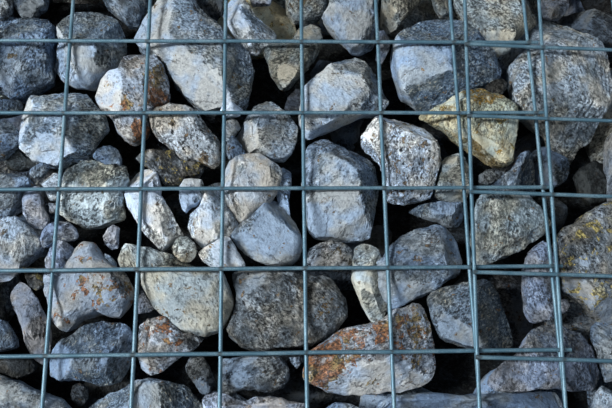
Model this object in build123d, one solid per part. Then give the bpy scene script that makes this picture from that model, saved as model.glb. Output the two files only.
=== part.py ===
"""Gabion wall: welded mesh sheets lapped into one long cage, filled with stone in three lifts.

The wall stands on the ground with X along it, +Y to the back and +Z up. The origin is the middle
of its foot. Every mesh sheet has its long wires outside and its cross wires inside, welded where
they touch. The face sheets lap by one cell, every second one over its neighbours, and they hang a
little out of level, each the other way from the one beside it. The back is the front turned half
round. Lengths are in millimetres and angles in degrees.
"""
from build123d import *
import os
from math import radians, sin

# Mesh
wire = 5.0
cell = 100.0
sheet_cells = 10
rise_cells = 10
deep_cells = 5
lapped_cells = 1

# Wire ends, from the last wire's middle
start_tail = 3.0
end_tail = 12.0
side_tail = 5.0
flush_tail = wire / 2

# How the sheets sit
bays = ("left", "right")
face_skew = 1.14
row_drop = 10.2
lap_slip = 2.5
seat = 0.3
ground_gap = 1.0

# Lifts of stone, and the cross ties laid between them
lifts = ("lower", "middle", "upper")
tie_rows = {"lower": 2, "upper": 6}
tie_wire = 4.0
tie_bend = 1.5
tie_return = 16.0
tie_columns = {
    "left": {"lower": {"outer": 2, "inner": 6}, "upper": {"outer": 2}},
    "right": {"lower": {"outer": 7, "inner": 3}, "upper": {"outer": 7, "inner": 3}},
}

# Sizes that follow
last_bay = len(bays) - 1
sheet_thick = 2 * wire
layer_step = sheet_thick + seat
sheet_length = sheet_cells * cell
sheet_height = rise_cells * cell
depth = deep_cells * cell
bay_step = sheet_length - lapped_cells * cell + lap_slip
wall_length = sheet_length + last_bay * bay_step
face_inside = depth / 2 + wire / 2 + seat
end_inside = wall_length / 2 + wire / 2 + seat
longest_tail = max(start_tail, end_tail)
skew_rise = (sheet_length / 2 + longest_tail) * sin(radians(abs(face_skew)))
skew_lean = (sheet_height / 2 + side_tail) * sin(radians(abs(face_skew)))
lap_clear = lapped_cells * cell / 2 + longest_tail + skew_lean + seat
face_low_row = ground_gap + side_tail + skew_rise + row_drop
mean_low_row = face_low_row - row_drop / 2
fill_bottom = sheet_thick + seat
lid_inside = mean_low_row + sheet_height - sheet_thick - seat
tie_levels = [mean_low_row + (row + 0.5) * cell + tie_wire / 2 for row in tie_rows.values()]
lift_levels = [fill_bottom, *tie_levels, lid_inside - seat]


def on_top(index):
    """Whether a bay's front sheet and lid lap over their neighbours instead of under them."""
    return index % 2 == 1


def stand_out(index):
    """How much further out a bay's lapped sheet lies than the innermost ones."""
    return layer_step if on_top(index) else 0


def bay_centre(index):
    """Distance along the wall of a bay's middle."""
    return (index - last_bay / 2) * bay_step


def mesh_sheet(long_cells, cross_cells, start, end, side):
    """A flat sheet about its own middle: long wires along X outside, cross wires along Y inside."""
    length, width = long_cells * cell, cross_cells * cell
    long_bar = Box(length + start + end, wire, wire)
    cross_bar = Box(wire, width + 2 * side, wire)
    long_wires = [
        Pos((end - start) / 2, row * cell - width / 2, 1.5 * wire) * long_bar
        for row in range(cross_cells + 1)
    ]
    cross_wires = [
        Pos(column * cell - length / 2, 0, 0.5 * wire) * cross_bar
        for column in range(long_cells + 1)
    ]
    return long_wires[0].fuse(*long_wires[1:], *cross_wires)


def half_turn(shape):
    """The same thing on the other side of the wall."""
    return Rot(0, 0, 180) * shape


def face_place(index):
    """Where a front sheet's middle sits, and how it is turned in the face's plane."""
    y = -face_inside - stand_out(index)
    z = face_low_row + sheet_height / 2 - (row_drop if on_top(index) else 0)
    outward = Plane(origin=(bay_centre(index), y, z), x_dir=(1, 0, 0), z_dir=(0, -1, 0))
    return Location(outward) * Rot(0, 0, -face_skew if on_top(index) else face_skew)


def wire_along(index, column, level):
    """Distance along the wall of a front cross wire's middle, at a height."""
    offset = column * cell - sheet_length / 2
    foot = (face_place(index) * Pos(offset, -sheet_height / 2, 0)).position
    head = (face_place(index) * Pos(offset, sheet_height / 2, 0)).position
    return foot.X + (head.X - foot.X) * (level - foot.Z) / (head.Z - foot.Z)


def bent_line(points):
    """A line through some points, with each bend eased by cutting its corner off."""
    spots = [Vector(*point) for point in points]
    path = [spots[0]]
    for before, corner, after in zip(spots, spots[1:], spots[2:]):
        path.append(corner + (before - corner).normalized() * tie_bend)
        path.append(corner + (after - corner).normalized() * tie_bend)
    return Polyline(*path, spots[-1])


def tie_path(index, column, level, spare):
    """A tie's middle line from above: hooked round a front wire and the back wire behind it."""
    behind = last_bay - index
    hook = wire / 2 + tie_wire / 2 + seat
    front = face_inside + stand_out(index) + wire + tie_wire / 2 + seat
    back = face_inside + stand_out(behind) + wire + tie_wire / 2 + seat
    front_x = wire_along(index, column, level)
    back_x = -wire_along(behind, sheet_cells - column, level)
    bends = [
        (front_x - hook, tie_return + spare - front),
        (front_x - hook, -front),
        (front_x + hook, -front),
        (back_x + hook, back),
        (back_x - hook, back),
        (back_x - hook, back - tie_return - spare),
    ]
    return bent_line(bends)


def cross_tie(index, column, level, spare=0.0):
    """A cross tie just under a level, or with some spare the groove that it lies in."""
    width = tie_wire + 2 * spare
    flat = trace(tie_path(index, column, level, spare), line_width=width)
    return Pos(0, 0, level - tie_wire - spare) * extrude(flat, amount=tie_wire + spare)


def fill_plans(index):
    """One bay's stone from above: all of it, and the part that is clear of the laps."""
    start = bay_centre(index) - bay_step / 2 if index > 0 else seat - end_inside
    end = bay_centre(index) + bay_step / 2 if index < last_bay else end_inside - seat
    core = Pos((start + end) / 2, 0) * Rectangle(end - start, 2 * (face_inside - seat))
    start += lap_clear if index > 0 else 0
    end -= lap_clear if index < last_bay else 0
    front = face_inside - seat + stand_out(index)
    back = face_inside - seat + stand_out(last_bay - index)
    clear = Pos((start + end) / 2, (back - front) / 2) * Rectangle(end - start, front + back)
    return core + clear, clear


def stone_lift(index, lift):
    """One bay's stone between two levels, grooved on top for the ties that lie there."""
    low, high = lift_levels[lift], lift_levels[lift + 1]
    plan, clear = fill_plans(index)
    block = Pos(0, 0, low) * extrude(plan, amount=high - low)
    if lift < len(tie_levels):
        for column in tie_columns[bays[index]][tie_names[lift]].values():
            block -= cross_tie(index, column, high, seat)
    elif on_top(index):
        block += Pos(0, 0, high) * extrude(clear, amount=layer_step)
    return block


os.makedirs("parts", exist_ok=True)

tie_names = list(tie_rows)
face_sheet = mesh_sheet(sheet_cells, rise_cells, start_tail, end_tail, side_tail)

for index, bay in enumerate(bays):
    front = face_place(index) * face_sheet
    export_step(front, f"parts/front_sheet_{bay}.step")
    export_step(half_turn(front), f"parts/back_sheet_{bays[last_bay - index]}.step")

    lid_start = start_tail if index > 0 else flush_tail
    lid_end = end_tail if index < last_bay else flush_tail
    lid_sheet = mesh_sheet(sheet_cells, deep_cells, lid_start, lid_end, flush_tail)
    lid = Pos(bay_centre(index), 0, lid_inside + stand_out(index)) * lid_sheet
    export_step(lid, f"parts/lid_sheet_{bay}.step")

    for lift, lift_name in enumerate(lifts):
        export_step(stone_lift(index, lift), f"parts/stone_fill_{bay}_{lift_name}.step")

    for level, level_name in zip(tie_levels, tie_names):
        for place, column in tie_columns[bay][level_name].items():
            tie = cross_tie(index, column, level)
            export_step(tie, f"parts/cross_tie_{bay}_{level_name}_{place}.step")

# The base sheets meet end to end in the middle of a cell, so that the wall stands flat.
base_cells = int(wall_length / 2 / cell)
base_tail = wall_length / 2 - base_cells * cell - seat / 2
base_sheet = mesh_sheet(base_cells, deep_cells, flush_tail, base_tail, flush_tail)
base_centre = -(wall_length - base_cells * cell) / 2
base = Pos(base_centre, 0, sheet_thick) * Rot(180, 0, 0) * base_sheet
export_step(base, "parts/base_sheet_left.step")
export_step(half_turn(base), "parts/base_sheet_right.step")

end_sheet = mesh_sheet(deep_cells, rise_cells, flush_tail, flush_tail, side_tail)
end_middle = (-end_inside, 0, face_low_row + sheet_height / 2)
outward = Location(Plane(origin=end_middle, x_dir=(0, -1, 0), z_dir=(-1, 0, 0)))
export_step(outward * end_sheet, "parts/end_sheet_left.step")
export_step(half_turn(outward * end_sheet), "parts/end_sheet_right.step")
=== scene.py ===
"""Gabion wall: welded mesh sheets lapped into a cage, packed with rough broken stone."""
import logging
import random
from collections.abc import Iterator
from dataclasses import dataclass, field, replace
from enum import Enum
from math import cos, pi, radians, sin, tan, tau

import bmesh
import bpy
import numpy as np
from mathutils import Matrix, Vector, noise


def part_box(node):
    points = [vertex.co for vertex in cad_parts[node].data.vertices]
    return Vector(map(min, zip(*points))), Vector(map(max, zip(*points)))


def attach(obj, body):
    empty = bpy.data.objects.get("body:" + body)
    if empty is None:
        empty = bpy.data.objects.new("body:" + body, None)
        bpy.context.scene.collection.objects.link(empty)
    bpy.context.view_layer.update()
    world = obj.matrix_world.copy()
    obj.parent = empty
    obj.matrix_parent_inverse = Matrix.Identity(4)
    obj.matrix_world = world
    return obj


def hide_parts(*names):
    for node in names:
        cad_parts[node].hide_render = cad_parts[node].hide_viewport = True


LOG = logging.getLogger("gabion")

Socket = bpy.types.NodeSocket
Pair = tuple[float, float]
Triple = tuple[float, float, float]
Outline = list[Pair]
# What a node's input reads or holds.
Value = Socket | float | Triple

# The photograph's frame, in which every outline below is read.
FRAME_WIDTH = 612
FRAME_HEIGHT = 408

# Driving sizes of the cage, in metres, as in the part's source.
WIRE = 0.005
CELL = 0.1
SHEET_CELLS = 10
RISE_CELLS = 10
DEEP_CELLS = 5
START_TAIL = 0.003
END_TAIL = 0.012
SIDE_TAIL = 0.005
FLUSH_TAIL = WIRE / 2
FACE_SKEW = radians(1.14)
ROW_DROP = 0.0102
LAP_SLIP = 0.0025
SEAT = 0.0003
GROUND_GAP = 0.001
SHEET_LENGTH = SHEET_CELLS * CELL
SHEET_HEIGHT = RISE_CELLS * CELL
BAY_STEP = SHEET_LENGTH - CELL + LAP_SLIP
LAYER_STEP = 2 * WIRE + SEAT
FACE_INSIDE = DEEP_CELLS * CELL / 2 + WIRE / 2 + SEAT
END_INSIDE = (SHEET_LENGTH + BAY_STEP) / 2 + WIRE / 2 + SEAT
FACE_LOW_ROW = GROUND_GAP + SIDE_TAIL + (SHEET_LENGTH / 2 + END_TAIL) * sin(FACE_SKEW) + ROW_DROP
LID_INSIDE = FACE_LOW_ROW - ROW_DROP / 2 + SHEET_HEIGHT - 2 * WIRE - SEAT
BASE_CELLS = int((SHEET_LENGTH + BAY_STEP) / 2 / CELL)
BASE_TAIL = (SHEET_LENGTH + BAY_STEP) / 2 - BASE_CELLS * CELL - SEAT / 2

# How far a weld's marks reach along its wires, and how deep it sinks them together.
WELD = 0.008
WELD_BITE = 0.0004

# A stone's bulge over its rim, as a share of its mean half width, and the most that it may be.
BULGE = 0.55
MOST_BULGE = 0.034
# How much of the bulge its rim lies behind its side of the wall, how much of it the ridges of its
# broken faces stand out, and the room that is left to the mesh.
RIM_DEPTH = 0.95
RIDGE_HEIGHT = 0.3
MESH_ROOM = 0.0008
# How full a stone's outline, front and back are. 0 is a block and 1 a cone. Its back's depth is a
# share of its mean half width.
OUTLINE_FULL, FRONT_FULL, BACK_FULL = 0.55, 0.5, 0.9
BACK_DEPTH = 0.75
# How far a blank's points are drawn to the front, where they are seen.
BLANK_DRAW = 0.45
# Stones of the photograph with a greater mean half width than this are divided more finely.
BIG_STONE = 0.028
# How far below its ridge a broken face starts, how much of what stands over it is broken off, and
# what has to stand over it for the stone to look broken there.
RIDGE_DROP = 0.97
BROKEN_OFF = 0.96
SKIN_DEPTH = 0.0003
# How steep the edge of a patch is.
PATCH_EDGE = 2.2
# A stone's lumps, chips, grit and layers: how many there are in a metre or how far apart they lie,
# and how high they are, at most in metres, or as shares of its mean half width.
LUMPS, LUMP_HEIGHT, LUMP_SHARE = 26.0, 0.0028, 0.055
CHIPS, CHIP_HEIGHT, CHIP_SHARE = 58.0, 0.0042, 0.085
GRITS, GRIT_HEIGHT = 130.0, 0.0015
LAYER_GAP, LAYER_HEIGHT = 0.0085, 0.0014
# How much smoother newly broken faces are.
FRESH_CALM = 0.65
# Edges of a stone that are bent more than this look crisp.
CRISP = radians(23)
# The wall's dark heart: how much narrower and lower than the cage it is, how far it is above the
# ground, how finely it is divided, its lumps in a metre and their height, and its look, whose low
# brightness is painted shade between the stones.
HEART_NARROWER, HEART_LOWER, HEART_FOOT = 0.2, 0.09, 0.02
HEART_CUTS, HEART_LUMPS, HEART_LUMP_HEIGHT = 23, 14.0, 0.03
HEART_SHADE_LOOK = (0.14, -0.5, 0.0)

# The directions in which a stone's outline is measured: for its form, and for its size alone.
FORM_STEPS = 144
SIZE_STEPS = 32
# The least that counts as a length, and as a measure to divide by.
SHORT = 1e-6
TINY = 1e-12


class StoneKind(Enum):
    """The stones of the fill, by what they look like."""

    BLUE = "blue_grey_stone"
    PALE = "pale_grey_stone"
    WHITE = "white_stone"
    BEIGE = "beige_stone"
    OCHRE = "ochre_stone"
    RUST = "rust_stained_stone"
    DARK = "dark_weathered_stone"
    PITTED = "pitted_stone"
    LICHEN = "lichen_stone"
    LAVENDER = "lavender_grey_stone"


class Bay(Enum):
    """The two bays of the wall, with the side of the origin that each lies on."""

    LEFT = -1
    RIGHT = 1

    @property
    def label(self) -> str:
        """The bay's name as it stands in the nodes' names."""
        return self.name.lower()


def add_object(name: str, data: bpy.types.ID) -> bpy.types.Object:
    """Make an object and add it to the scene.

    Args:
        name: what it is called.
        data: its mesh, curve, camera or light.

    Returns:
        The object.
    """
    piece = bpy.data.objects.new(name, data)
    bpy.context.scene.collection.objects.link(piece)
    return piece


def finish_mesh(name: str, form: bmesh.types.BMesh, *materials: bpy.types.Material
                ) -> bpy.types.Mesh:
    """Turn a form that is done into a mesh.

    Args:
        name: what the mesh is called.
        form: the form, which is freed.
        *materials: the mesh's materials.

    Returns:
        The mesh.
    """
    mesh = bpy.data.meshes.new(name)
    form.to_mesh(mesh)
    form.free()
    for material in materials:
        mesh.materials.append(material)
    return mesh


class Nodes:
    """A short hand for building the nodes of one material or world."""

    def __init__(self, owner: bpy.types.Material | bpy.types.World) -> None:
        """Start without any nodes.

        Args:
            owner: the material or the world.
        """
        owner.use_nodes = True
        self.owner = owner
        self.tree = owner.node_tree
        self.tree.nodes.clear()

    def feed(self, value: Value, target: Socket) -> None:
        """Let an input read a socket, or hold a number or a colour.

        Args:
            value: the socket, number or colour.
            target: the input.
        """
        if isinstance(value, Socket):
            self.tree.links.new(value, target)
        elif target.type == "RGBA":
            target.default_value = (*value, 1.0)
        else:
            target.default_value = value

    def add(self, kind: str, *values: Value, **settings: object) -> bpy.types.Node:
        """Add a node.

        Args:
            kind: the node's type name, after "ShaderNode".
            *values: what its first inputs read or hold, in their order.
            **settings: its properties, and what other inputs read or hold, by name.

        Returns:
            The new node.
        """
        node = self.tree.nodes.new(f"ShaderNode{kind}")
        for key, value in settings.items():
            if hasattr(node, key):
                setattr(node, key, value)
            else:
                self.feed(value, node.inputs[key.replace("_", " ")])
        for value, target in zip(values, node.inputs):
            self.feed(value, target)
        return node

    def noise(self, where: Socket, scale: float, detail: float = 4.0, rough: float = 0.55,
              warp: float = 0.0, output: str = "Fac") -> Socket:
        """Add a noise pattern.

        Args:
            where: the coordinates that it reads.
            scale: lumps in a metre.
            detail: how many finer layers it has.
            rough: how strong the finer layers are.
            warp: how much it is distorted.
            output: "Fac" for one value or "Color" for three.

        Returns:
            The pattern, about 0.5 in the middle.
        """
        return self.add("TexNoise", Vector=where, Scale=scale, Detail=detail, Roughness=rough,
                        Distortion=warp).outputs[output]

    def cells(self, where: Socket, scale: float, feature: str = "F1") -> Socket:
        """Add a pattern of scattered cells.

        Args:
            where: the coordinates that it reads.
            scale: cells along a metre.
            feature: what is measured, such as the way to the cell's middle or to its edge.

        Returns:
            The distance.
        """
        return self.add("TexVoronoi", feature=feature, Vector=where, Scale=scale,
                        Randomness=1.0).outputs["Distance"]

    def parts(self, value: Socket) -> list[Socket]:
        """Split a vector into its three measures."""
        return list(self.add("SeparateXYZ", value).outputs)

    def moved(self, where: Socket, by: Socket, scale: float) -> Socket:
        """Move coordinates by a vector.

        Args:
            where: the coordinates.
            by: the vector.
            scale: how many times the vector.

        Returns:
            The moved coordinates.
        """
        way = self.add("VectorMath", by, operation="SCALE", Scale=scale).outputs[0]
        return self.add("VectorMath", way, where, operation="ADD").outputs[0]

    def band(self, value: Socket, low: float, high: float, start: float = 0.0, end: float = 1.0
             ) -> Socket:
        """Stretch a range of a value and hold it at both ends.

        Args:
            value: the value to stretch.
            low: where it starts to change.
            high: where it stops changing.
            start: what it gives below low.
            end: what it gives above high.

        Returns:
            The stretched value.
        """
        return self.add("MapRange", interpolation_type="SMOOTHSTEP", Value=value, From_Min=low,
                        From_Max=high, To_Min=start, To_Max=end).outputs["Result"]

    def plus(self, first: Socket, second: Socket | float) -> Socket:
        """The sum of two values."""
        return self.add("Math", first, second, operation="ADD").outputs[0]

    def times(self, first: Socket, second: Socket | float) -> Socket:
        """The product of two values."""
        return self.add("Math", first, second, operation="MULTIPLY").outputs[0]

    def most(self, first: Socket, second: Socket | float) -> Socket:
        """The greater of two values."""
        return self.add("Math", first, second, operation="MAXIMUM").outputs[0]

    def blend(self, base: Value, layer: Value, amount: Socket | float, how: str = "MIX"
              ) -> Socket:
        """Lay one colour over another.

        Args:
            base: the colour or socket underneath.
            layer: the colour or socket on top.
            amount: how much of the layer shows.
            how: the way of mixing.

        Returns:
            The mixed colour.
        """
        node = self.add("Mix", amount, data_type="RGBA", blend_type=how)
        self.feed(base, node.inputs[6])
        self.feed(layer, node.inputs[7])
        return node.outputs[2]

    def tint(self, base: Value, by: Value) -> Socket:
        """Multiply a colour by another, or by one value."""
        return self.blend(base, by, 1.0, "MULTIPLY")

    def bump(self, height: Socket, depth: float, under: Socket | None = None,
             strength: Socket | float = 1.0) -> Socket:
        """Add a bump.

        Args:
            height: the height pattern.
            depth: its depth in metres.
            under: an earlier bump to build on.
            strength: how much of it shows, from 0 to 1.

        Returns:
            The bent normal.
        """
        node = self.add("Bump", Height=height, Distance=depth, Strength=strength)
        if under is not None:
            self.feed(under, node.inputs["Normal"])
        return node.outputs["Normal"]

    def principled(self, **values: Value) -> bpy.types.Material:
        """Close a material.

        Args:
            **values: what its shader's inputs read or hold, by name.

        Returns:
            The material.
        """
        shader = self.add("BsdfPrincipled", **values)
        self.add("OutputMaterial", shader.outputs["BSDF"])
        return self.owner


class StoneNodes(Nodes):
    """The nodes of a stone's material, with the patterns that its colours and relief share.

    A stone's points hold its lot, which is three random numbers, and its look there: how bright,
    how newly broken and how stained it is. The brightness also carries painted light and shade,
    and it is painted shade on the stones deep in the gaps and on the heart.
    """

    def __init__(self, name: str) -> None:
        """Make the patterns.

        Args:
            name: what the material is called.
        """
        super().__init__(bpy.data.materials.new(name))
        here = self.add("TexCoord").outputs["Object"]
        lot = self.add("Attribute", attribute_name="lot").outputs["Vector"]
        look = self.add("Attribute", attribute_name="look").outputs["Vector"]
        self.tone, broken, self.stain = self.parts(look)
        turn, self.hue, _ = self.parts(lot)
        self.where = self.moved(here, lot, 7.0)
        turned = self.add("VectorRotate", rotation_type="Y_AXIS", Vector=self.where,
                          Angle=self.times(turn, tau)).outputs["Vector"]
        self.bedded = self.add("Mapping", Vector=turned, Scale=(1.0, 1.0, 1.55)).outputs["Vector"]

        self.broad = self.noise(self.where, 15.0, 3.0, 0.6, 0.7)
        self.middle = self.noise(self.bedded, 48.0, 6.0, 0.75, 0.4)
        self.fine = self.noise(self.bedded, 245.0, 2.0, 0.65, 0.4)
        self.calm = self.band(self.noise(self.where, 24.0, 2.0), 0.42, 0.56)
        age = self.plus(broken, self.times(self.plus(self.middle, -0.5), 1.2))
        self.fresh = self.band(age, 0.1, 0.55)
        self.old = self.band(self.times(age, -1.0), 0.15, 0.6)
        self.pits = self.find_pits()
        swirl = self.noise(self.where, 40.0, 4.0, 0.7, output="Color")
        self.warped = self.moved(self.where, swirl, 0.03)
        cracks = self.band(self.cells(self.warped, 19.0, "DISTANCE_TO_EDGE"), 0.004, 0.018, 1.0,
                           0.0)
        cracked = self.band(self.noise(self.where, 22.0, 2.0), 0.53, 0.6)
        self.cracks = self.times(cracks, cracked)

    def faded(self, least: float) -> Socket:
        """Full strength on old stone, and down to the least on newly broken faces."""
        return self.band(self.fresh, 0.0, 1.0, 1.0, least)

    def find_pits(self) -> Socket:
        """Find where the stone is pitted, by small pits in crowds, holes and winding hollows.

        Returns:
            1 in the pits and 0 beside them.
        """
        crowd = self.band(self.noise(self.where, 34.0, 3.0, 0.6), 0.42, 0.6)
        uneven = self.times(self.plus(self.fine, -0.5), 0.7)
        pits = self.band(self.plus(self.cells(self.bedded, 150.0), uneven), 0.16, 0.32, 1.0, 0.0)
        holes = self.band(self.plus(self.cells(self.bedded, 62.0), uneven), 0.09, 0.2, 1.0, 0.0)
        pits = self.times(self.most(self.times(pits, crowd), holes), self.faded(0.4))
        worms = self.band(self.noise(self.bedded, 205.0, 1.0, 0.5, 1.0), 0.36, 0.43, 0.75, 0.0)
        worms = self.times(worms, self.band(self.calm, 0.0, 1.0, 1.0, 0.35))
        return self.most(pits, self.times(worms, self.faded(0.22)))


@dataclass(frozen=True)
class StoneFinish:
    """One kind of stone: its tones, its stains, its specks and its pits.

    Attributes:
        body: the usual colour.
        light: the colour of its paler patches.
        shade: the colour of its darker patches.
        fresh: the colour of newly broken faces.
        stain: the colour of the stains on it.
        crust: the other colour of the stains on it.
        stained: how much of it is stained of itself, from 0 to 1.
        specks: how dark its pits look, from 0 to 1.
        pits: how deep its pits look, in metres.
        soot: the colour that its pits are darkened towards.
        seam: the colour of its cracks.
    """

    body: Triple
    light: Triple
    shade: Triple
    fresh: Triple
    stain: Triple = (0.17, 0.12, 0.07)
    crust: Triple = (0.13, 0.10, 0.055)
    stained: float = 0.0
    specks: float = 0.55
    pits: float = 0.0012
    soot: Triple = (0.018, 0.02, 0.023)
    seam: Triple = (0.03, 0.03, 0.035)

    def skin(self, n: StoneNodes) -> Socket:
        """Mix the stone's own colour, older or newly broken, warmer here and cooler there.

        Args:
            n: the nodes of the stone's material.

        Returns:
            The colour without stains, pits and cracks.
        """
        colour = n.blend(self.shade, self.body, n.band(n.broad, 0.34, 0.52))
        colour = n.blend(colour, self.light, n.band(n.middle, 0.48, 0.62, 0.0, 0.8))
        speckle = n.blend(n.band(n.fine, 0.38, 0.6, 0.4, 1.6),
                          n.band(n.fine, 0.38, 0.6, 0.72, 1.26), n.calm)
        colour = n.tint(colour, speckle)
        clean = n.blend(self.fresh, self.light, n.band(n.middle, 0.44, 0.6, 0.0, 0.45))
        clean = n.tint(clean, n.band(n.fine, 0.38, 0.6, 0.72, 0.92))
        clean = n.tint(clean, n.band(n.broad, 0.38, 0.6, 0.86, 1.06))
        colour = n.blend(colour, clean, n.fresh)
        aged = n.tint(colour, (0.60, 0.62, 0.61))
        aged = n.blend(aged, (0.36, 0.36, 0.32), n.band(n.fine, 0.56, 0.7))
        colour = n.blend(colour, aged, n.old)
        warmth = n.band(n.noise(n.where, 28.0, 2.0, 0.6), 0.4, 0.62)
        return n.tint(colour, n.blend((0.87, 0.99, 1.13), (1.08, 1.01, 0.9), warmth))

    def stains(self, n: StoneNodes, colour: Socket) -> Socket:
        """Lay the stains over the stone.

        Args:
            n: the nodes of the stone's material.
            colour: the stone's own colour.

        Returns:
            The stained colour.
        """
        marks = n.plus(n.times(n.noise(n.where, 85.0, 3.0, 0.7, 0.4), 3.6), -1.8)
        stained = n.band(n.plus(n.plus(n.stain, self.stained), marks), 0.5, 0.64)
        stain = n.blend(self.stain, self.crust, n.band(n.broad, 0.52, 0.6))
        stain = n.tint(stain, n.band(n.fine, 0.38, 0.6, 1.35, 0.25))
        stain = n.blend(stain, self.light, n.band(n.middle, 0.52, 0.66, 0.0, 0.75))
        return n.blend(colour, stain, n.times(stained, 0.92))

    def material(self, kind: StoneKind) -> bpy.types.Material:
        """Build the stone's material.

        Args:
            kind: which stone it is, for the name.

        Returns:
            The material.
        """
        n = StoneNodes(kind.value)
        colour = self.stains(n, self.skin(n))
        colour = n.blend(colour, self.soot, n.times(n.pits, self.specks))
        colour = n.blend(colour, self.seam, n.times(n.cracks, 0.5))
        colour = n.tint(colour, n.blend((0.92, 1.0, 1.1), (1.05, 1.0, 0.93), n.hue))
        colour = n.tint(colour, n.tone)
        # Painted shade in the hollows: where the surface bends inwards its colour is darkened to
        # half. Sharp ridges are made paler.
        edges = n.add("NewGeometry").outputs["Pointiness"]
        colour = n.tint(colour, n.band(edges, 0.4, 0.5, 0.5, 1.0))
        colour = n.blend(colour, n.tint(colour, (1.45, 1.45, 1.45)), n.band(edges, 0.515, 0.58))

        rough = n.faded(0.42)
        relief = n.bump(n.middle, 0.011, None, rough)
        relief = n.bump(n.cells(n.warped, 88.0), 0.0028, relief, rough)
        relief = n.bump(n.fine, 0.0024, relief, rough)
        relief = n.bump(n.times(n.most(n.pits, n.cracks), -1.0), self.pits, relief)
        return n.principled(Base_Color=colour, Roughness=0.9, Specular_IOR_Level=0.2,
                            Normal=relief)


FINISHES: dict[StoneKind, StoneFinish] = {
    StoneKind.BLUE: StoneFinish(
        (0.155, 0.20, 0.26), (0.27, 0.325, 0.40), (0.075, 0.10, 0.135), (0.24, 0.295, 0.37)),
    StoneKind.PALE: StoneFinish(
        (0.275, 0.32, 0.37), (0.42, 0.455, 0.50), (0.14, 0.17, 0.205), (0.37, 0.41, 0.455)),
    StoneKind.WHITE: StoneFinish(
        (0.38, 0.42, 0.465), (0.53, 0.56, 0.60), (0.21, 0.235, 0.26), (0.44, 0.475, 0.525),
        specks=0.45),
    StoneKind.BEIGE: StoneFinish(
        (0.25, 0.265, 0.255), (0.41, 0.42, 0.40), (0.12, 0.125, 0.12), (0.42, 0.42, 0.38),
        pits=0.002),
    StoneKind.OCHRE: StoneFinish(
        (0.40, 0.36, 0.24), (0.54, 0.52, 0.41), (0.21, 0.165, 0.085), (0.54, 0.52, 0.40),
        (0.30, 0.18, 0.04), (0.38, 0.30, 0.12), stained=0.14, specks=0.3),
    StoneKind.RUST: StoneFinish(
        (0.28, 0.30, 0.335), (0.46, 0.49, 0.54), (0.13, 0.13, 0.135), (0.42, 0.465, 0.53),
        (0.27, 0.125, 0.06), (0.25, 0.19, 0.085), stained=0.12, pits=0.002),
    StoneKind.DARK: StoneFinish(
        (0.12, 0.135, 0.15), (0.32, 0.345, 0.37), (0.04, 0.046, 0.053), (0.22, 0.255, 0.295),
        specks=0.8, pits=0.0025),
    StoneKind.PITTED: StoneFinish(
        (0.33, 0.35, 0.375), (0.50, 0.52, 0.55), (0.155, 0.16, 0.165), (0.46, 0.485, 0.52),
        stained=0.2, specks=0.95, pits=0.003),
    StoneKind.LICHEN: StoneFinish(
        (0.145, 0.15, 0.15), (0.32, 0.325, 0.33), (0.045, 0.047, 0.048), (0.28, 0.30, 0.325),
        (0.33, 0.27, 0.10), (0.30, 0.31, 0.27), stained=0.3, specks=0.9, pits=0.0025),
    StoneKind.LAVENDER: StoneFinish(
        (0.215, 0.24, 0.30), (0.36, 0.39, 0.46), (0.105, 0.12, 0.15), (0.31, 0.345, 0.43)),
}


@dataclass(frozen=True)
class WireFinish:
    """Dull galvanised wire, weathered blue-grey, with a little rust and burnt welds.

    Attributes:
        zinc: the usual colour.
        bloom: the colour of the paler, chalky patches.
        rust: the colour of rust.
        burn: the colour of the burnt zinc at the welds.
        rusted: how much of the wire is rusty, from 0 to 1.
    """

    zinc: Triple = (0.064, 0.14, 0.195)
    bloom: Triple = (0.145, 0.24, 0.30)
    rust: Triple = (0.16, 0.07, 0.03)
    burn: Triple = (0.035, 0.04, 0.042)
    rusted: float = 0.12

    def material(self, name: str) -> bpy.types.Material:
        """Build the wire's material.

        Args:
            name: what the material is called.

        Returns:
            The material.
        """
        n = Nodes(bpy.data.materials.new(name))
        where = n.add("TexCoord").outputs["Object"]
        broad = n.noise(where, 30.0, 4.0, 0.6)
        fine = n.noise(where, 600.0, 3.0, 0.7)
        colour = n.blend(self.zinc, self.bloom, n.band(n.times(broad, fine), 0.2, 0.36))
        spots = n.band(n.plus(n.noise(where, 70.0, 4.0, 0.7), fine),
                       1.3 - 0.4 * self.rusted, 1.38 - 0.4 * self.rusted)
        colour = n.blend(colour, self.rust, spots)
        weld = n.add("Attribute", attribute_name="weld").outputs["Fac"]
        burnt = n.band(n.plus(weld, n.plus(n.plus(fine, broad), -1.0)), 0.5, 0.8)
        colour = n.blend(colour, self.burn, n.times(burnt, 0.75))
        return n.principled(Base_Color=colour, Metallic=0.35,
                            Roughness=n.band(fine, 0.2, 0.8, 0.38, 0.6),
                            Normal=n.bump(fine, 0.0001))


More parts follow.
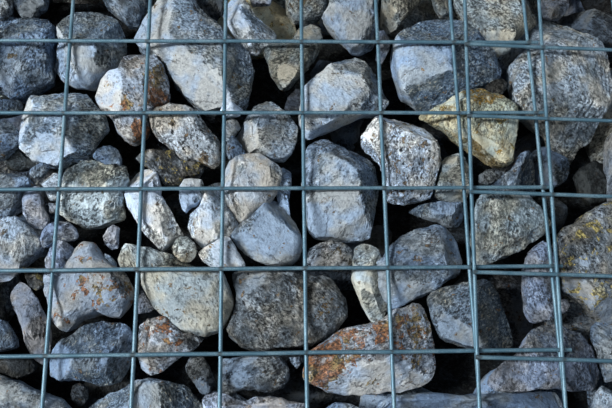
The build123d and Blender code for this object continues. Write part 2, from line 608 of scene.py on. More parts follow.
@dataclass(frozen=True)
class Shot:
    """The camera, as worked out from the mesh's crossings in the photograph.

    Attributes:
        spot: where the lens is, in metres.
        turn: degrees to the right of straight at the wall.
        tilt: degrees above level.
        roll: degrees that the camera's right side is raised.
        reach: the focal length in pixels of the photograph.
    """

    spot: Triple = (-0.2811, -1.1559, 0.3559)
    turn: float = 1.9425
    tilt: float = 15.8266
    roll: float = 0.3086
    reach: float = 760.0

    def matrix(self) -> Matrix:
        """Where the camera stands and how it is turned."""
        return (Matrix.Translation(self.spot) @ Matrix.Rotation(radians(-self.turn), 4, "Z")
                @ Matrix.Rotation(radians(90 + self.tilt), 4, "X")
                @ Matrix.Rotation(radians(self.roll), 4, "Z"))

    def onto(self, x: float, y: float, depth: float) -> Pair:
        """Carry a pixel of the photograph onto a plane behind the face.

        Args:
            x: pixels from the left.
            y: pixels from the top.
            depth: the plane's place along Y, in metres.

        Returns:
            The point's X and Z, in metres.
        """
        ray = self.matrix().to_3x3() @ Vector((x - FRAME_WIDTH / 2, FRAME_HEIGHT / 2 - y,
                                               -self.reach))
        share = (depth - self.spot[1]) / ray.y
        return self.spot[0] + share * ray.x, self.spot[2] + share * ray.z

    def read(self, text: str, depth: float) -> Outline:
        """Carry points of the photograph onto a plane behind the face.

        Args:
            text: the points in the photograph's frame, as "x,y x,y ...".
            depth: the plane's place along Y, in metres.

        Returns:
            Each point's X and Z, in metres.
        """
        pixels = [pair.split(",") for pair in text.split()]
        return [self.onto(float(x), float(y), depth) for x, y in pixels]

    def build(self) -> None:
        """Make the scene's camera."""
        data = bpy.data.cameras.new("camera")
        data.sensor_width = 36.0
        data.lens = self.reach * data.sensor_width / FRAME_WIDTH
        data.clip_start = 0.01
        camera = add_object("camera", data)
        camera.matrix_world = self.matrix()
        bpy.context.scene.camera = camera


@dataclass(frozen=True)
class Face:
    """One outer side of the fill, as a flat plane.

    Attributes:
        corner: a point on the plane, its own origin.
        right: the way that its first measure runs.
        up: the way that its second measure runs.
        out: the way out of the wall.
    """

    corner: Triple
    right: Triple
    up: Triple
    out: Triple

    def matrix(self) -> Matrix:
        """The plane's own axes as a matrix."""
        axes = Matrix((self.right, self.up, self.out)).transposed().to_4x4()
        return Matrix.Translation(self.corner) @ axes


FRONT = Face((0.0, -FACE_INSIDE + SEAT, 0.0), (1, 0, 0), (0, 0, 1), (0, -1, 0))
BACK = Face((0.0, FACE_INSIDE - SEAT, 0.0), (-1, 0, 0), (0, 0, 1), (0, 1, 0))
TOP = Face((0.0, 0.0, LID_INSIDE - SEAT), (1, 0, 0), (0, 1, 0), (0, 0, 1))
LEFT_END = Face((-END_INSIDE + SEAT, 0.0, 0.0), (0, -1, 0), (0, 0, 1), (-1, 0, 0))
RIGHT_END = Face((END_INSIDE - SEAT, 0.0, 0.0), (0, 1, 0), (0, 0, 1), (1, 0, 0))


def sides(corners: Outline) -> Iterator[tuple[Pair, Pair]]:
    """A polygon's sides, each as its two ends."""
    return zip(corners, corners[1:] + corners[:1])


def polygon_centre(corners: Outline) -> Pair:
    """Find the centre of a polygon's area.

    Args:
        corners: the polygon's corners.

    Returns:
        The centre.
    """
    area = first = second = 0.0
    for (x0, y0), (x1, y1) in sides(corners):
        cross = x0 * y1 - x1 * y0
        area += cross
        first += (x0 + x1) * cross
        second += (y0 + y1) * cross
    return first / (3 * area), second / (3 * area)


def reach_round(corners: Outline, centre: Pair, steps: int) -> np.ndarray:
    """How far a polygon reaches from its centre in each direction.

    Args:
        corners: the polygon's corners.
        centre: a point inside it.
        steps: how many directions.

    Returns:
        The reach in each direction, starting at the right and going anticlockwise.
    """
    reach = np.zeros(steps)
    for index in range(steps):
        angle = index * tau / steps
        dx, dy = cos(angle), sin(angle)
        for (x0, y0), (x1, y1) in sides(corners):
            ex, ey = x1 - x0, y1 - y0
            under = dx * ey - dy * ex
            if abs(under) < TINY:
                continue
            ax, ay = x0 - centre[0], y0 - centre[1]
            along = (ax * ey - ay * ex) / under
            share = (ax * dy - ay * dx) / under
            if along > 0 and -SHORT <= share <= 1 + SHORT:
                reach[index] = max(reach[index], along)
    reach[reach == 0] = reach[reach > 0].mean()
    return reach


def half_width(corners: Outline) -> float:
    """A polygon's mean half width."""
    return float(reach_round(corners, polygon_centre(corners), SIZE_STEPS).mean())


def clip(corners: Outline, normal: Pair, limit: float) -> Outline:
    """Cut a polygon by a straight line.

    Args:
        corners: the polygon's corners.
        normal: the way out of the part that stays.
        limit: how far out that part goes.

    Returns:
        The corners of what is left.
    """
    kept = []
    for (x0, y0), (x1, y1) in sides(corners):
        d0 = x0 * normal[0] + y0 * normal[1] - limit
        d1 = x1 * normal[0] + y1 * normal[1] - limit
        if d0 <= 0:
            kept.append((x0, y0))
        if d0 * d1 < 0:
            share = d0 / (d0 - d1)
            kept.append((x0 + share * (x1 - x0), y0 + share * (y1 - y0)))
    return kept


def nearest_on(corners: Outline, x: float, y: float) -> Pair:
    """Find the point of a polygon's edge that is nearest to a point.

    Args:
        corners: the polygon's corners.
        x: the point's first measure.
        y: its second measure.

    Returns:
        The nearest point of the edge.
    """
    best, spot = float("inf"), (x, y)
    for (x0, y0), (x1, y1) in sides(corners):
        ex, ey = x1 - x0, y1 - y0
        share = ((x - x0) * ex + (y - y0) * ey) / (ex * ex + ey * ey + TINY)
        share = max(0.0, min(1.0, share))
        px, py = x0 + share * ex, y0 + share * ey
        gap = (px - x) ** 2 + (py - y) ** 2
        if gap < best:
            best, spot = gap, (px, py)
    return spot


def inside(corners: Outline, x: float, y: float) -> bool:
    """Tell whether a point lies in a polygon.

    Args:
        corners: the polygon's corners.
        x: the point's first measure.
        y: its second measure.

    Returns:
        True where it lies inside.
    """
    found = False
    for (x0, y0), (x1, y1) in sides(corners):
        if (y0 > y) != (y1 > y) and x < (x1 - x0) * (y - y0) / (y1 - y0) + x0:
            found = not found
    return found


def bulge_of(size: float) -> float:
    """How far a stone of a mean half width stands out from its rim."""
    return min(BULGE * size, MOST_BULGE)


@dataclass(frozen=True)
class Break:
    """A broken face of a stone, in the stone's own measures.

    Attributes:
        spot: a point of its ridge, as seen from the front, in metres.
        way: the way that it falls, as a unit pair.
        tilt: degrees that it falls away.
        fresh: how newly broken it looks, from -1 to 1.
        stain: how much of it is stained, from 0 to 1.
    """

    spot: Pair
    way: Pair
    tilt: float
    fresh: float
    stain: float = 0.0


@dataclass(frozen=True)
class Spot:
    """A round patch of another finish, in the stone's own measures.

    Attributes:
        place: its middle, as seen from the front, in metres.
        reach: how far it reaches.
        fresh: how much newer or older it looks than the stone.
        stain: how much of it is stained.
    """

    place: Pair
    reach: float
    fresh: float
    stain: float


@dataclass(frozen=True)
class Rock:
    """All that the quarry needs to know of one stone.

    Attributes:
        kind: what it looks like.
        corners: its outline on the side of the wall that it lies against.
        inset: how far it lies behind that side.
        level: how finely it is divided.
        tone: how bright it is beside others of its kind, with painted light and shade in it;
        its low values on stones deep in the gaps are painted shade.
        fresh: how newly broken it looks apart from its broken faces.
        breaks: its broken faces.
        spots: its patches.
        grain: the way that its layers run in degrees, if it has layers.
    """

    kind: StoneKind
    corners: Outline
    inset: float
    level: int
    tone: float
    fresh: float
    breaks: tuple[Break, ...]
    spots: tuple[Spot, ...] = ()
    grain: float | None = None


@dataclass(frozen=True)
class Facet:
    """A flat broken face of a stone that the photograph shows.

    Attributes:
        ridge: two points in the photograph's frame, as "x,y x,y". Seen along the ridge from the
            first to the second, the face falls away on the right.
        tilt: degrees that it falls away.
        fresh: 1 where it is newly broken and pale, -1 where it is old and weathered.
        stain: how much of it is stained, from 0 to 1.
    """

    ridge: str
    tilt: float
    fresh: float = 0.0
    stain: float = 0.0


@dataclass(frozen=True)
class Patch:
    """A round patch of another finish on a stone that the photograph shows.

    Attributes:
        spot: its middle in the photograph's frame, as "x,y".
        reach: how far it reaches, in pixels.
        stain: how much of it is stained, from 0 to 1.
        fresh: 1 where it is pale, -1 where it is weathered.
    """

    spot: str
    reach: float
    stain: float = 0.0
    fresh: float = 0.0


@dataclass(frozen=True)
class FaceStone:
    """A stone that the photograph shows.

    Attributes:
        kind: what it looks like.
        outline: its corners in the photograph's frame, as "x,y x,y ...".
        inset: how far it lies behind the mesh, in millimetres.
        fresh: how newly broken the rest of it looks, from -1 to 1.
        facets: its broken faces.
        patches: its patches.
        tone: how bright it is beside others of its kind. It carries painted light and shade
        as well as the stone's own colour, and its low values on stones set deep in the gaps are
        painted shade.
        grain: the way that its layers run in degrees, if it has layers.
    """

    kind: StoneKind
    outline: str
    inset: float = 4.0
    fresh: float = 0.0
    facets: tuple[Facet, ...] = ()
    patches: tuple[Patch, ...] = ()
    tone: float = 1.0
    grain: float | None = None

    def rock(self, shot: Shot) -> Rock:
        """Turn what the photograph shows into a stone for the quarry.

        Args:
            shot: the camera.

        Returns:
            The stone, without the small chips that the photograph doesn't settle.
        """
        inset = self.inset / 1000
        plane = FRONT.corner[1] + inset
        size = half_width(shot.read(self.outline, plane))
        corners = shot.read(self.outline, plane + RIM_DEPTH * bulge_of(size))
        middle = Vector(polygon_centre(corners))
        surface = plane + RIDGE_HEIGHT * bulge_of(size)
        breaks = []
        for facet in self.facets:
            start, end = (Vector(point) for point in shot.read(facet.ridge, surface))
            along = (end - start).normalized()
            breaks.append(Break(tuple((start + end) / 2 - middle), (along.y, -along.x),
                                facet.tilt, facet.fresh, facet.stain))
        spots = []
        for patch in self.patches:
            place = Vector(shot.read(patch.spot, surface)[0]) - middle
            reach = patch.reach * (surface - shot.spot[1]) / shot.reach
            spots.append(Spot(tuple(place), reach, patch.fresh, patch.stain))
        return Rock(self.kind, corners, inset, 5 if size > BIG_STONE else 4, self.tone,
                    self.fresh, tuple(breaks), tuple(spots), self.grain)


# Short names for the list of the stones that the photograph shows, which were read one by one.
F, P, K, S = Facet, Patch, StoneKind, FaceStone
# A stone's brightness factor carries painted light and shade as well as its own colour: the low
# factors of the stones set deep in the gaps, many of the dark kind, are painted shade.
FACE_STONES: tuple[FaceStone, ...] = (
    S(K.BLUE, "-22,18 20,20 50,22 57,31 57,45 53,60 53,80 46,87 33,92 22,99 12,99 4,90 -14,88 "
      "-26,60", 6, 0, (F("57,39 -20,37", 33, -0.5), F("18,100 46,62", 41, -0.4),
      F("-14,66 32,84", 36, 0.5)), (P("17,60", 8, 0.9),), grain=4),
    S(K.BLUE, "14,-14 50,-14 47,8 38,12 33,20 22,18 16,8", 16, tone=0.73),
    S(K.DARK, "-20,-14 14,-14 12,10 3,21 -18,20", 10, tone=1.3),
    S(K.PALE, "60,24 66,15 74,9 90,8 106,13 118,20 124,32 126,48 122,58 110,70 100,80 92,88 75,86 "
      "62,80 53,68 57,58 60,46 58,38", 4, 0.8, (F("126,45 58,42", 31, -1),
      F("102,86 105,46", 46, -0.7), F("56,68 94,88", 44, 0.5))),
    S(K.BLUE, "97,-14 156,-14 145,14 138,25 128,26 118,18 108,10", 20, -0.2, tone=0.8),
    S(K.RUST, "98,93 102,82 110,74 120,72 124,60 132,55 145,56 155,58 164,68 167,80 170,95 166,105 "
      "158,109 150,122 146,138 136,143 124,139 116,130 110,115 100,108 96,100", 2, 0.1,
      (F("122,74 119,141", 28, 1), F("145,141 146,60", 33, -0.2, 0.5),
      F("166,78 108,76", 28, -0.2)), (P("130,102", 12, 0.5), P("157,97", 14, 0.95),
      P("141,130", 12, 0.9)), 1.15),
    S(K.PALE, "20,130 23,115 25,103 32,97 50,97 62,93 76,91 86,96 97,106 106,118 108,128 100,137 "
      "95,147 90,157 82,158 70,160 60,166 50,166 40,163 32,161 25,153 20,143", 2, -0.3,
      (F("20,132 67,139", 31, 1), F("66,162 79,98", 42, -0.6)), tone=1.37),
    S(K.BLUE, "-20,100 12,100 24,104 22,113 10,116 -18,118", 22, -0.5, tone=0.5),
    S(K.BLUE, "-22,118 10,122 20,132 20,145 14,152 5,160 -20,160", 10, -0.3, tone=1.2),
    S(K.PALE, "134,38 140,25 147,15 158,3 168,-10 186,-12 197,8 205,18 215,26 226,38 240,48 251,60 "
      "254,72 252,90 247,106 236,112 205,113 195,105 185,95 175,84 168,70 160,61 148,54 139,47", 1,
      -0.35, (F("152,27 224,80", 31, 0.9), F("222,113 224,30", 31, -0.6),
      F("186,-10 138,30", 33, -0.2)), grain=48),
    # A shaded stone in a gap, given the dark kind and a low brightness as painted shade.
    S(K.DARK, "178,-26 206,-28 224,-20 222,12 210,22 196,14", 26, tone=0.67),
    S(K.WHITE, "224,99 233,100 243,109 240,116 226,118 220,110", 10, 0.6, tone=1.6),
    S(K.WHITE, "225,2 235,-8 246,2 255,15 268,25 277,32 275,40 262,47 258,54 248,52 238,42 228,28 "
      "223,15", 3, 0.8, (F("260,47 236,2", 38, -0.5),)),
    S(K.LAVENDER, "243,-16 280,-16 270,4 252,5", 20),
    S(K.BEIGE, "284,-14 330,-14 327,8 320,19 306,23 294,22 286,10", 22, -0.2,
      patches=(P("300,2", 14, 0.8),), tone=0.68),
    S(K.BEIGE, "263,52 275,46 290,44 299,31 310,24 320,28 323,40 318,55 310,66 300,75 290,85 "
      "284,90 279,86 274,76 269,65", 10, -0.5, tone=0.8),
    S(K.LAVENDER, "284,108 288,98 296,89 304,92 304,114 288,116", 20, -0.3, tone=0.19),
    S(K.PITTED, "149,118 158,110 170,106 186,108 200,113 203,122 210,130 217,138 221,148 220,162 "
      "214,168 205,166 197,162 188,163 180,160 174,150 166,143 157,138 151,130", 3, 0.1,
      patches=(P("172,124", 7, 0.75), P("204,160", 7, 0.6)), tone=1.22),
    S(K.PALE, "249,113 257,103 270,98 279,105 284,113 292,118 297,128 296,142 291,153 284,160 "
      "270,159 262,155 255,153 247,154 243,148 238,141 235,135 242,127 246,118", 5, 0,
      (F("259,159 255,104", 20, -0.1), F("254,104 262,158", 49, 0.9),
      F("294,118 250,116", 46, -0.3))),
    S(K.BLUE, "227,140 231,135 236,138 241,145 246,154 238,158 229,160 226,152", 14, tone=0.78),
    S(K.PALE, "222,124 232,118 238,121 241,128 235,136 228,142 222,138", 14, tone=0.72),
    S(K.PALE, "331,-10 380,-10 376,15 376,35 373,48 362,53 352,52 342,42 333,33 326,25 322,17 "
      "328,8", 3, 0.5, (F("371,54 374,-12", 51, -0.4), F("322,22 356,54", 44, 0.5)), grain=75,
      tone=0.78),
    S(K.LAVENDER, "377,32 384,31 390,42 389,52 383,61 376,58", 14, -0.3, tone=0.45),
    S(K.PALE, "300,93 312,82 330,69 345,58 356,54 366,61 376,72 383,88 386,102 383,112 368,113 "
      "352,119 335,126 320,132 307,138 298,125", 1, 0.55, (F("379,114 352,58", 51, -0.7),
      F("296,112 384,106", 23, 0.4)), tone=1.09),
    S(K.BEIGE, "379,-10 428,-10 420,3 412,10 405,17 397,27 388,28 381,20", 8, 0,
      (F("395,32 408,-12", 38, -0.6),), tone=0.78),
    S(K.BEIGE, "430,-10 452,-10 450,15 441,18 434,8", 18, -0.3, tone=0.5),
    S(K.BLUE, "391,50 394,40 404,33 415,27 425,20 440,18 460,20 475,25 482,36 490,45 496,56 503,72 "
      "500,80 490,84 478,88 465,93 453,99 440,102 428,110 419,108 409,100 400,96 396,82 392,68", 1,
      0.75, (F("495,50 390,47", 33, -0.7), F("400,84 504,66", 56, -1),
      F("452,99 448,18", 23, -0.5)), tone=1.32),
    S(K.DARK, "485,86 492,82 503,78 507,82 506,90 500,97 492,95", 14, tone=0.2),
    S(K.BEIGE, "451,4 455,-10 534,-10 541,5 541,16 535,25 528,31 518,37 511,42 511,49 500,53 "
      "493,50 487,43 481,36 475,29 468,21 460,14", 1, 0.1, (F("456,6 512,50", 44, -0.3),
      F("540,8 450,-6", 38, 0.4)), tone=1.12),
    S(K.LAVENDER, "541,-10 566,-10 568,8 562,17 552,20 544,16", 12, tone=0.58),
    S(K.PALE, "510,65 515,58 526,52 536,45 530,39 531,31 540,22 552,16 563,18 568,26 577,34 590,41 "
      "599,47 604,58 608,72 611,85 610,98 606,111 600,125 598,136 588,140 584,152 577,153 566,147 "
      "555,142 549,132 540,129 528,120 516,109 512,95", 0, 0, (F("604,50 528,44", 41, -0.4),
      F("512,104 612,108", 44, -0.3), F("566,150 572,20", 20, 0.3)), (P("545,72", 18, 0, -0.3),
      P("590,70", 14, 0, -0.8)), 1.02, 84),
    S(K.DARK, "566,5 580,8 600,17 630,24 634,48 600,47 590,40 578,30 568,18", 18, tone=0.35),
    S(K.DARK, "580,-8 634,-8 634,20 612,19 596,14 584,4", 22, tone=0.05),
    S(K.OCHRE, "420,112 430,109 441,104 453,98 463,92 478,88 490,92 500,98 508,105 514,112 516,125 "
      "515,143 512,156 509,164 504,167 496,165 487,159 477,152 468,146 460,143 452,135 440,126 "
      "428,118", 2, -0.1, (F("432,111 508,154", 38, 1), F("514,100 420,100", 44, -0.4, 0.5)),
      (P("482,100", 13, 0.66), P("500,122", 9, 0.6), P("446,108", 8, 0.5)), 1.05),
    S(K.PITTED, "360,140 366,127 376,119 390,117 405,118 418,121 429,130 436,142 438,152 440,163 "
      "437,176 433,186 431,197 425,201 415,200 407,204 399,203 389,200 385,190 383,176 379,162 "
      "374,151 363,149", 1, 0, patches=(P("370,135", 9, 0, 0.8),), tone=1.57),
    S(K.PALE, "303,160 306,152 310,145 318,139 326,138 336,142 348,146 358,150 370,152 375,160 "
      "378,175 379,190 378,202 374,215 372,225 370,238 355,240 345,240 335,239 325,238 315,239 "
      "309,232 305,220 303,200 301,180", 0, 0.35, (F("362,241 355,148", 58, -0.6),
      F("374,160 302,156", 49, -0.2), F("302,186 358,190", 20, 0.6)), tone=1.05),
    # Painted shadow: the dark, weathered patch on its left stands for shade.
    S(K.BEIGE, "440,162 448,155 458,152 466,158 471,175 470,190 466,200 457,204 445,202 434,197 "
      "436,185 440,172", 14, 0, patches=(P("441,178", 9, 0, -1),), tone=0.92),
    S(K.BLUE, "411,208 420,203 435,202 450,203 461,203 464,212 464,220 459,226 452,228 444,226 "
      "440,222 430,220 419,216", 8, 0.4, tone=0.88),
    S(K.BLUE, "372,265 382,257 388,247 396,238 407,233 420,230 432,229 443,228 450,234 456,243 "
      "460,255 461,265 459,273 450,279 440,284 433,291 423,297 412,301 402,305 392,309 383,312 "
      "377,303 373,290 370,276", 2, 0.1, (F("388,300 462,270", 46, 0.5),
      F("389,256 391,308", 26, 0.5)), tone=1.09),
    S(K.BEIGE, "352,262 355,248 362,243 371,244 378,251 384,264 389,290 387,310 382,321 376,324 "
      "370,320 363,308 357,294 352,280", 5, 0.9, (F("375,320 369,244", 36, -0.1),), tone=1.35),
    S(K.PITTED, "306,262 308,250 318,243 330,241 342,243 351,250 353,258 351,266 340,271 325,270 "
      "312,268", 12, -0.3, patches=(P("318,262", 8, 0, 1), P("338,254", 8, 0, 0.9)), tone=0.66),
    S(K.BLUE, "513,165 520,155 527,151 533,155 537,165 541,178 544,190 530,194 500,192 488,187 "
      "498,180 508,172", 14, -0.2, (F("512,192 526,150", 51, -0.8),)),
    S(K.DARK, "478,176 486,170 498,170 506,174 496,182 486,186 478,184", 30),
    S(K.BEIGE, "476,205 478,196 490,192 505,193 520,192 530,200 537,207 543,217 547,225 542,233 "
      "533,242 522,250 512,255 500,259 490,264 480,267 474,262 472,240 473,220", 2, -0.4,
      (F("476,262 548,222", 51, 0.2), F("532,200 474,202", 38, -0.5)), tone=1.28),
    S(K.LAVENDER, "524,268 527,256 533,247 541,241 548,246 553,258 556,270 558,290 556,305 556,318 "
      "548,321 538,322 530,322 526,312 525,300 523,285", 4, 0.1, (F("541,322 543,242", 28, -0.3),),
      (P("541,308", 5, 0, 0.9),), 0.92),
    S(K.BEIGE, "575,175 580,168 590,163 597,160 604,165 607,180 607,195 604,204 590,206 580,196",
      28, -0.4, tone=0.11),
    S(K.LICHEN, "556,238 561,230 571,226 580,217 590,211 600,206 616,203 640,210 650,260 640,318 "
      "622,330 612,326 604,323 592,316 585,307 577,300 569,296 560,289 556,275 555,255", 1, 0,
      (F("558,276 622,332", 54, 0.8, -0.6),), (P("582,262", 7, 0, 1), P("600,290", 12, 0.5)), 1.16),
    S(K.WHITE, "606,145 608,136 614,130 636,128 640,205 612,204 608,195 606,170", 8, 0.3,
      tone=0.42),
    S(K.BEIGE, "66,178 70,168 80,159 90,158 100,162 112,162 124,164 127,175 129,182 125,195 "
      "124,205 125,218 112,223 98,227 85,228 76,224 66,219 58,214 61,205 61,192", 2, 0.35,
      (F("130,184 60,186", 33, -0.7), F("58,210 126,212", 51, 0)), (P("112,174", 8, 0, -1),), 1.56,
      4),
    S(K.BLUE, "93,158 97,150 104,146 111,146 118,151 122,158 122,165 105,165", 12, -0.3, tone=0.88),
    S(K.WHITE, "131,172 136,165 146,164 157,169 161,182 160,194 166,203 173,216 180,229 185,234 "
      "175,240 168,247 161,252 153,243 142,231 135,220 128,208 125,196 129,184", 2, 0.7,
      (F("166,252 150,164", 36, -0.1),), tone=1.38),
    S(K.LICHEN, "135,160 142,153 152,150 165,152 176,152 181,160 190,164 200,162 204,169 200,177 "
      "188,178 183,183 178,187 165,186 157,178 150,168", 10, -0.2,
      patches=(P("150,158", 9, 0, 0.6),), tone=0.96),
    S(K.WHITE, "179,188 184,180 192,179 202,180 205,188 202,200 196,206 190,208 186,214 182,210 "
      "179,200", 10, 0.5),
    S(K.WHITE, "222,170 230,160 240,157 250,154 260,155 268,160 275,165 281,172 281,182 276,195 "
      "268,205 258,211 247,222 240,224 232,214 226,204 221,194", 1, 0.5,
      (F("276,200 268,158", 38, -0.2),), (P("240,172", 6, 0, -1), P("243,168", 5, 0, -1)), 0.95),
    S(K.BLUE, "274,170 283,166 291,170 292,185 288,205 292,222 284,214 277,200", 16, tone=1.6),
    S(K.BLUE, "258,210 268,200 278,200 288,210 295,222 301,235 303,248 299,258 293,264 283,266 "
      "268,265 255,260 245,254 237,245 230,236 236,228 247,221", 0, 1,
      (F("232,238 300,262", 28, 1),), (P("283,222", 5, 0, -0.9),), 1.15),
    S(K.WHITE, "206,188 214,180 221,176 222,196 227,206 234,216 239,224 236,230 230,236 222,240 "
      "210,243 202,248 196,241 190,232 187,226 190,216 199,208 203,198", 4, 0.5,
      (F("188,224 236,236", 38, 0.9), F("214,244 212,180", 22, 0.1)), tone=1.27),
    S(K.BEIGE, "171,248 174,241 180,237 188,237 195,243 197,250 195,257 189,262 181,262 174,256", 3,
      -0.1, tone=1.4),
    S(K.WHITE, "198,253 205,247 214,243 224,236 230,236 235,245 240,255 245,263 246,268 232,269 "
      "215,269 206,264 200,258", 5, 0.5, tone=1.2),
    S(K.BEIGE, "118,260 121,250 126,243 135,246 150,248 160,252 172,255 180,262 190,263 200,264 "
      "207,268 190,271 150,271 122,270", 5, 0.2, tone=1.49),
    S(K.LAVENDER, "103,237 108,228 114,225 120,228 119,238 118,248 110,249 104,243", 12, 0.4),
    S(K.LAVENDER, "41,240 43,232 49,225 57,221 68,221 76,228 79,235 76,240 66,241 56,241 49,246 "
      "43,248", 5, 0.5),
    S(K.WHITE, "-16,228 2,222 10,218 18,217 27,223 36,230 42,239 43,248 38,256 30,261 24,266 "
      "18,273 9,279 -14,282 -24,255", 0, 0.2, (F("24,274 26,216", 28, -0.3),),
      (P("6,236", 8, 0.4, -0.5), P("8,256", 4, 0, -1)), 1.08),
    S(K.LAVENDER, "46,262 50,250 56,243 61,240 68,243 76,250 77,255 71,262 65,268 58,272 53,278 "
      "48,275", 6, 0, (F("56,278 62,240", 36, 0),), tone=1.35),
    S(K.BLUE, "101,258 105,253 112,257 117,263 117,269 104,268", 14, -0.3, tone=1.5),
    S(K.RUST, "45,290 47,274 53,278 62,272 70,262 77,252 84,243 96,244 102,255 108,262 117,268 "
      "125,272 130,280 134,290 132,300 127,309 120,317 110,317 100,313 90,316 80,320 72,328 66,333 "
      "60,330 54,322 50,312 48,300", 1, 0.55, (F("50,296 82,326", 33, 1, -0.3),
      F("64,318 134,302", 56, 0.8, -0.3)), (P("88,282", 17, 0.42, 0.1), P("106,290", 20, 0.46, 0),
      P("122,290", 12, 0.42)), 0.76),
    S(K.BLUE, "-20,177 8,174 22,174 32,180 37,187 24,190 21,200 15,208 6,219 -18,218 -26,200", 3,
      0.1, (F("38,188 -20,190", 24, 0.1),), tone=1.4),
    S(K.LAVENDER, "25,189 34,186 43,188 44,200 46,210 50,217 48,224 42,229 34,228 28,222 24,214 "
      "22,200", 6, 0.3, (F("22,212 50,216", 38, 0.2),)),
    S(K.WHITE, "40,184 46,176 54,173 62,176 68,182 63,190 58,200 50,201 47,195 45,188", 7, 0.2),
    S(K.RUST, "48,203 56,203 61,207 58,214 50,213", 12, tone=0.9),
    S(K.BLUE, "30,170 38,164 46,163 50,167 46,174 42,178 34,178 29,174", 12),
    S(K.BEIGE, "5,162 12,152 20,150 27,158 35,163 40,166 30,170 20,171 8,170", 26, -0.3, tone=0.27),
    S(K.LICHEN, "23,268 45,268 47,282 42,288 36,291 30,287 26,278", 8, -0.2, tone=0.46),
    S(K.LAVENDER, "12,288 18,280 24,283 30,288 38,298 42,310 48,320 50,335 50,348 45,362 40,366 "
      "33,360 28,350 25,338 22,325 17,312 12,303 10,295", 4, 0.5, (F("38,366 24,286", 31, -0.2),),
      tone=0.82),
    S(K.BLUE, "-18,318 5,320 12,328 17,338 18,348 0,352 -18,348", 10, -0.3, tone=0.6),
    S(K.DARK, "-18,358 15,357 32,358 38,366 36,372 26,376 18,379 6,374 -18,368", 16, tone=0.2),
    S(K.BLUE, "-26,366 4,374 12,378 22,382 32,388 42,392 55,397 64,400 72,410 70,440 20,452 "
      "-30,440", 1, 0.35, (F("-20,390 70,414", 38, 0.3),), tone=1.32),
    S(K.BLUE, "49,362 52,350 60,344 68,340 78,330 88,323 98,320 108,320 120,322 130,328 133,340 "
      "132,352 129,362 126,372 120,381 110,386 98,386 85,381 72,380 60,381 50,376", 2, -0.1,
      (F("134,352 52,356", 31, -0.4), F("52,372 130,370", 40, -0.6)), (P("112,358", 16, 0, 0.6),),
      0.95),
    S(K.DARK, "71,395 73,386 80,383 88,388 88,398 82,406 74,403", 22, tone=0.39),
    S(K.BLUE, "78,414 95,400 108,394 120,389 130,385 137,381 150,378 165,380 178,384 188,387 "
      "193,396 200,402 208,414 206,442 140,455 85,446", 0, 0.5, (F("158,452 151,376", 38, -0.8),
      F("137,455 136,378", 13, 0.8)), tone=1.35, grain=82),
    S(K.RUST, "138,325 145,320 158,317 168,317 176,325 182,333 195,334 203,338 198,347 190,352 "
      "180,358 170,364 160,370 148,374 140,368 137,358", 5, 0.1,
      (F("138,352 204,338", 51, 0.1, -0.4),), (P("160,328", 18, 0.42), P("176,340", 13, 0.38)),
      1.29),
    S(K.LAVENDER, "138,288 145,293 150,301 157,308 148,313 138,314", 14, tone=0.55),
    S(K.BEIGE, "141,272 150,268 180,268 218,268 226,280 231,292 235,303 232,315 227,325 218,333 "
      "207,336 195,334 182,331 172,324 162,315 155,307 148,298 143,286", 0, 0.5,
      (F("147,276 206,330", 31, 1),), (P("196,300", 22, 0, -0.1),), 1.04),
    S(K.DARK, "231,272 245,269 270,269 300,273 312,277 330,281 340,290 346,300 346,318 336,331 "
      "325,339 312,345 300,347 280,349 262,350 248,349 238,346 229,338 226,330 231,322 236,310 "
      "236,295", 3, -0.2, (F("228,334 346,318", 31, 0.2),), (P("254,334", 9, 0, 0.7),
      P("330,306", 14, 0.3, 0.4), P("262,282", 10, 0, 0.4)), 1.0),
    S(K.DARK, "220,358 240,357 262,355 280,357 287,364 290,372 288,382 283,389 270,393 255,389 "
      "240,392 228,396 218,392", 6, 0.1, patches=(P("240,380", 10, 0, 0.8),)),
    S(K.DARK, "185,368 190,358 204,356 212,372 220,391 214,390 207,395 202,394 196,386 190,378", 12,
      0.2, tone=0.5),
    S(K.PALE, "288,357 302,356 303,362 297,369 292,364", 12, tone=0.66),
    S(K.LAVENDER, "203,400 212,392 222,393 235,398 245,400 255,397 270,397 283,398 288,401 306,403 "
      "312,420 306,444 250,450 208,442", 1, 0.5, (F("206,404 306,405", 51, 0.6),), tone=1.38),
    S(K.RUST, "302,378 304,366 310,358 314,350 322,342 332,334 343,328 354,326 366,323 380,320 "
      "388,312 394,308 404,307 410,303 420,304 425,310 428,322 432,338 435,352 437,365 434,374 "
      "430,382 420,387 408,391 400,393 388,391 378,394 360,394 340,393 325,391 315,385 306,382", 0,
      0.1, (F("304,381 350,371", 44, 1, -0.5), F("345,371 436,371", 51, 1, -0.5),
      F("392,394 393,304", 31, -0.2, 0.3)), (P("322,366", 26, 1.0), P("345,345", 24, 0.7),
      P("376,332", 16, 0.6), P("415,325", 16, 0.6), P("318,378", 12, 0.9)), 1.17),
    S(K.BLUE, "426,300 433,292 440,288 452,286 468,283 480,282 492,285 500,296 504,306 509,318 "
      "514,332 517,342 508,350 495,352 475,351 460,346 448,341 440,338 435,326 430,312", 4, -0.3,
      (F("436,306 504,354", 33, 0.8), F("480,352 474,284", 38, -1)), (P("494,322", 4, 0, 1),
      P("500,338", 4, 0, 1)), 0.95),
    S(K.BLUE, "368,420 380,399 392,396 410,394 430,393 460,395 500,394 540,392 562,391 568,402 "
      "572,430 540,450 440,452 376,445", 1, 0.8, (F("370,402 566,398", 58, 0.5),), tone=0.83,
      grain=4),
    S(K.BLUE, "318,412 335,402 350,404 362,410 366,436 322,440", 6, 0.4),
    S(K.LAVENDER, "497,372 504,364 512,358 520,350 525,340 533,329 545,325 558,324 570,328 580,335 "
      "589,345 597,358 601,376 597,385 590,390 575,391 560,389 545,389 525,391 510,392 498,390 "
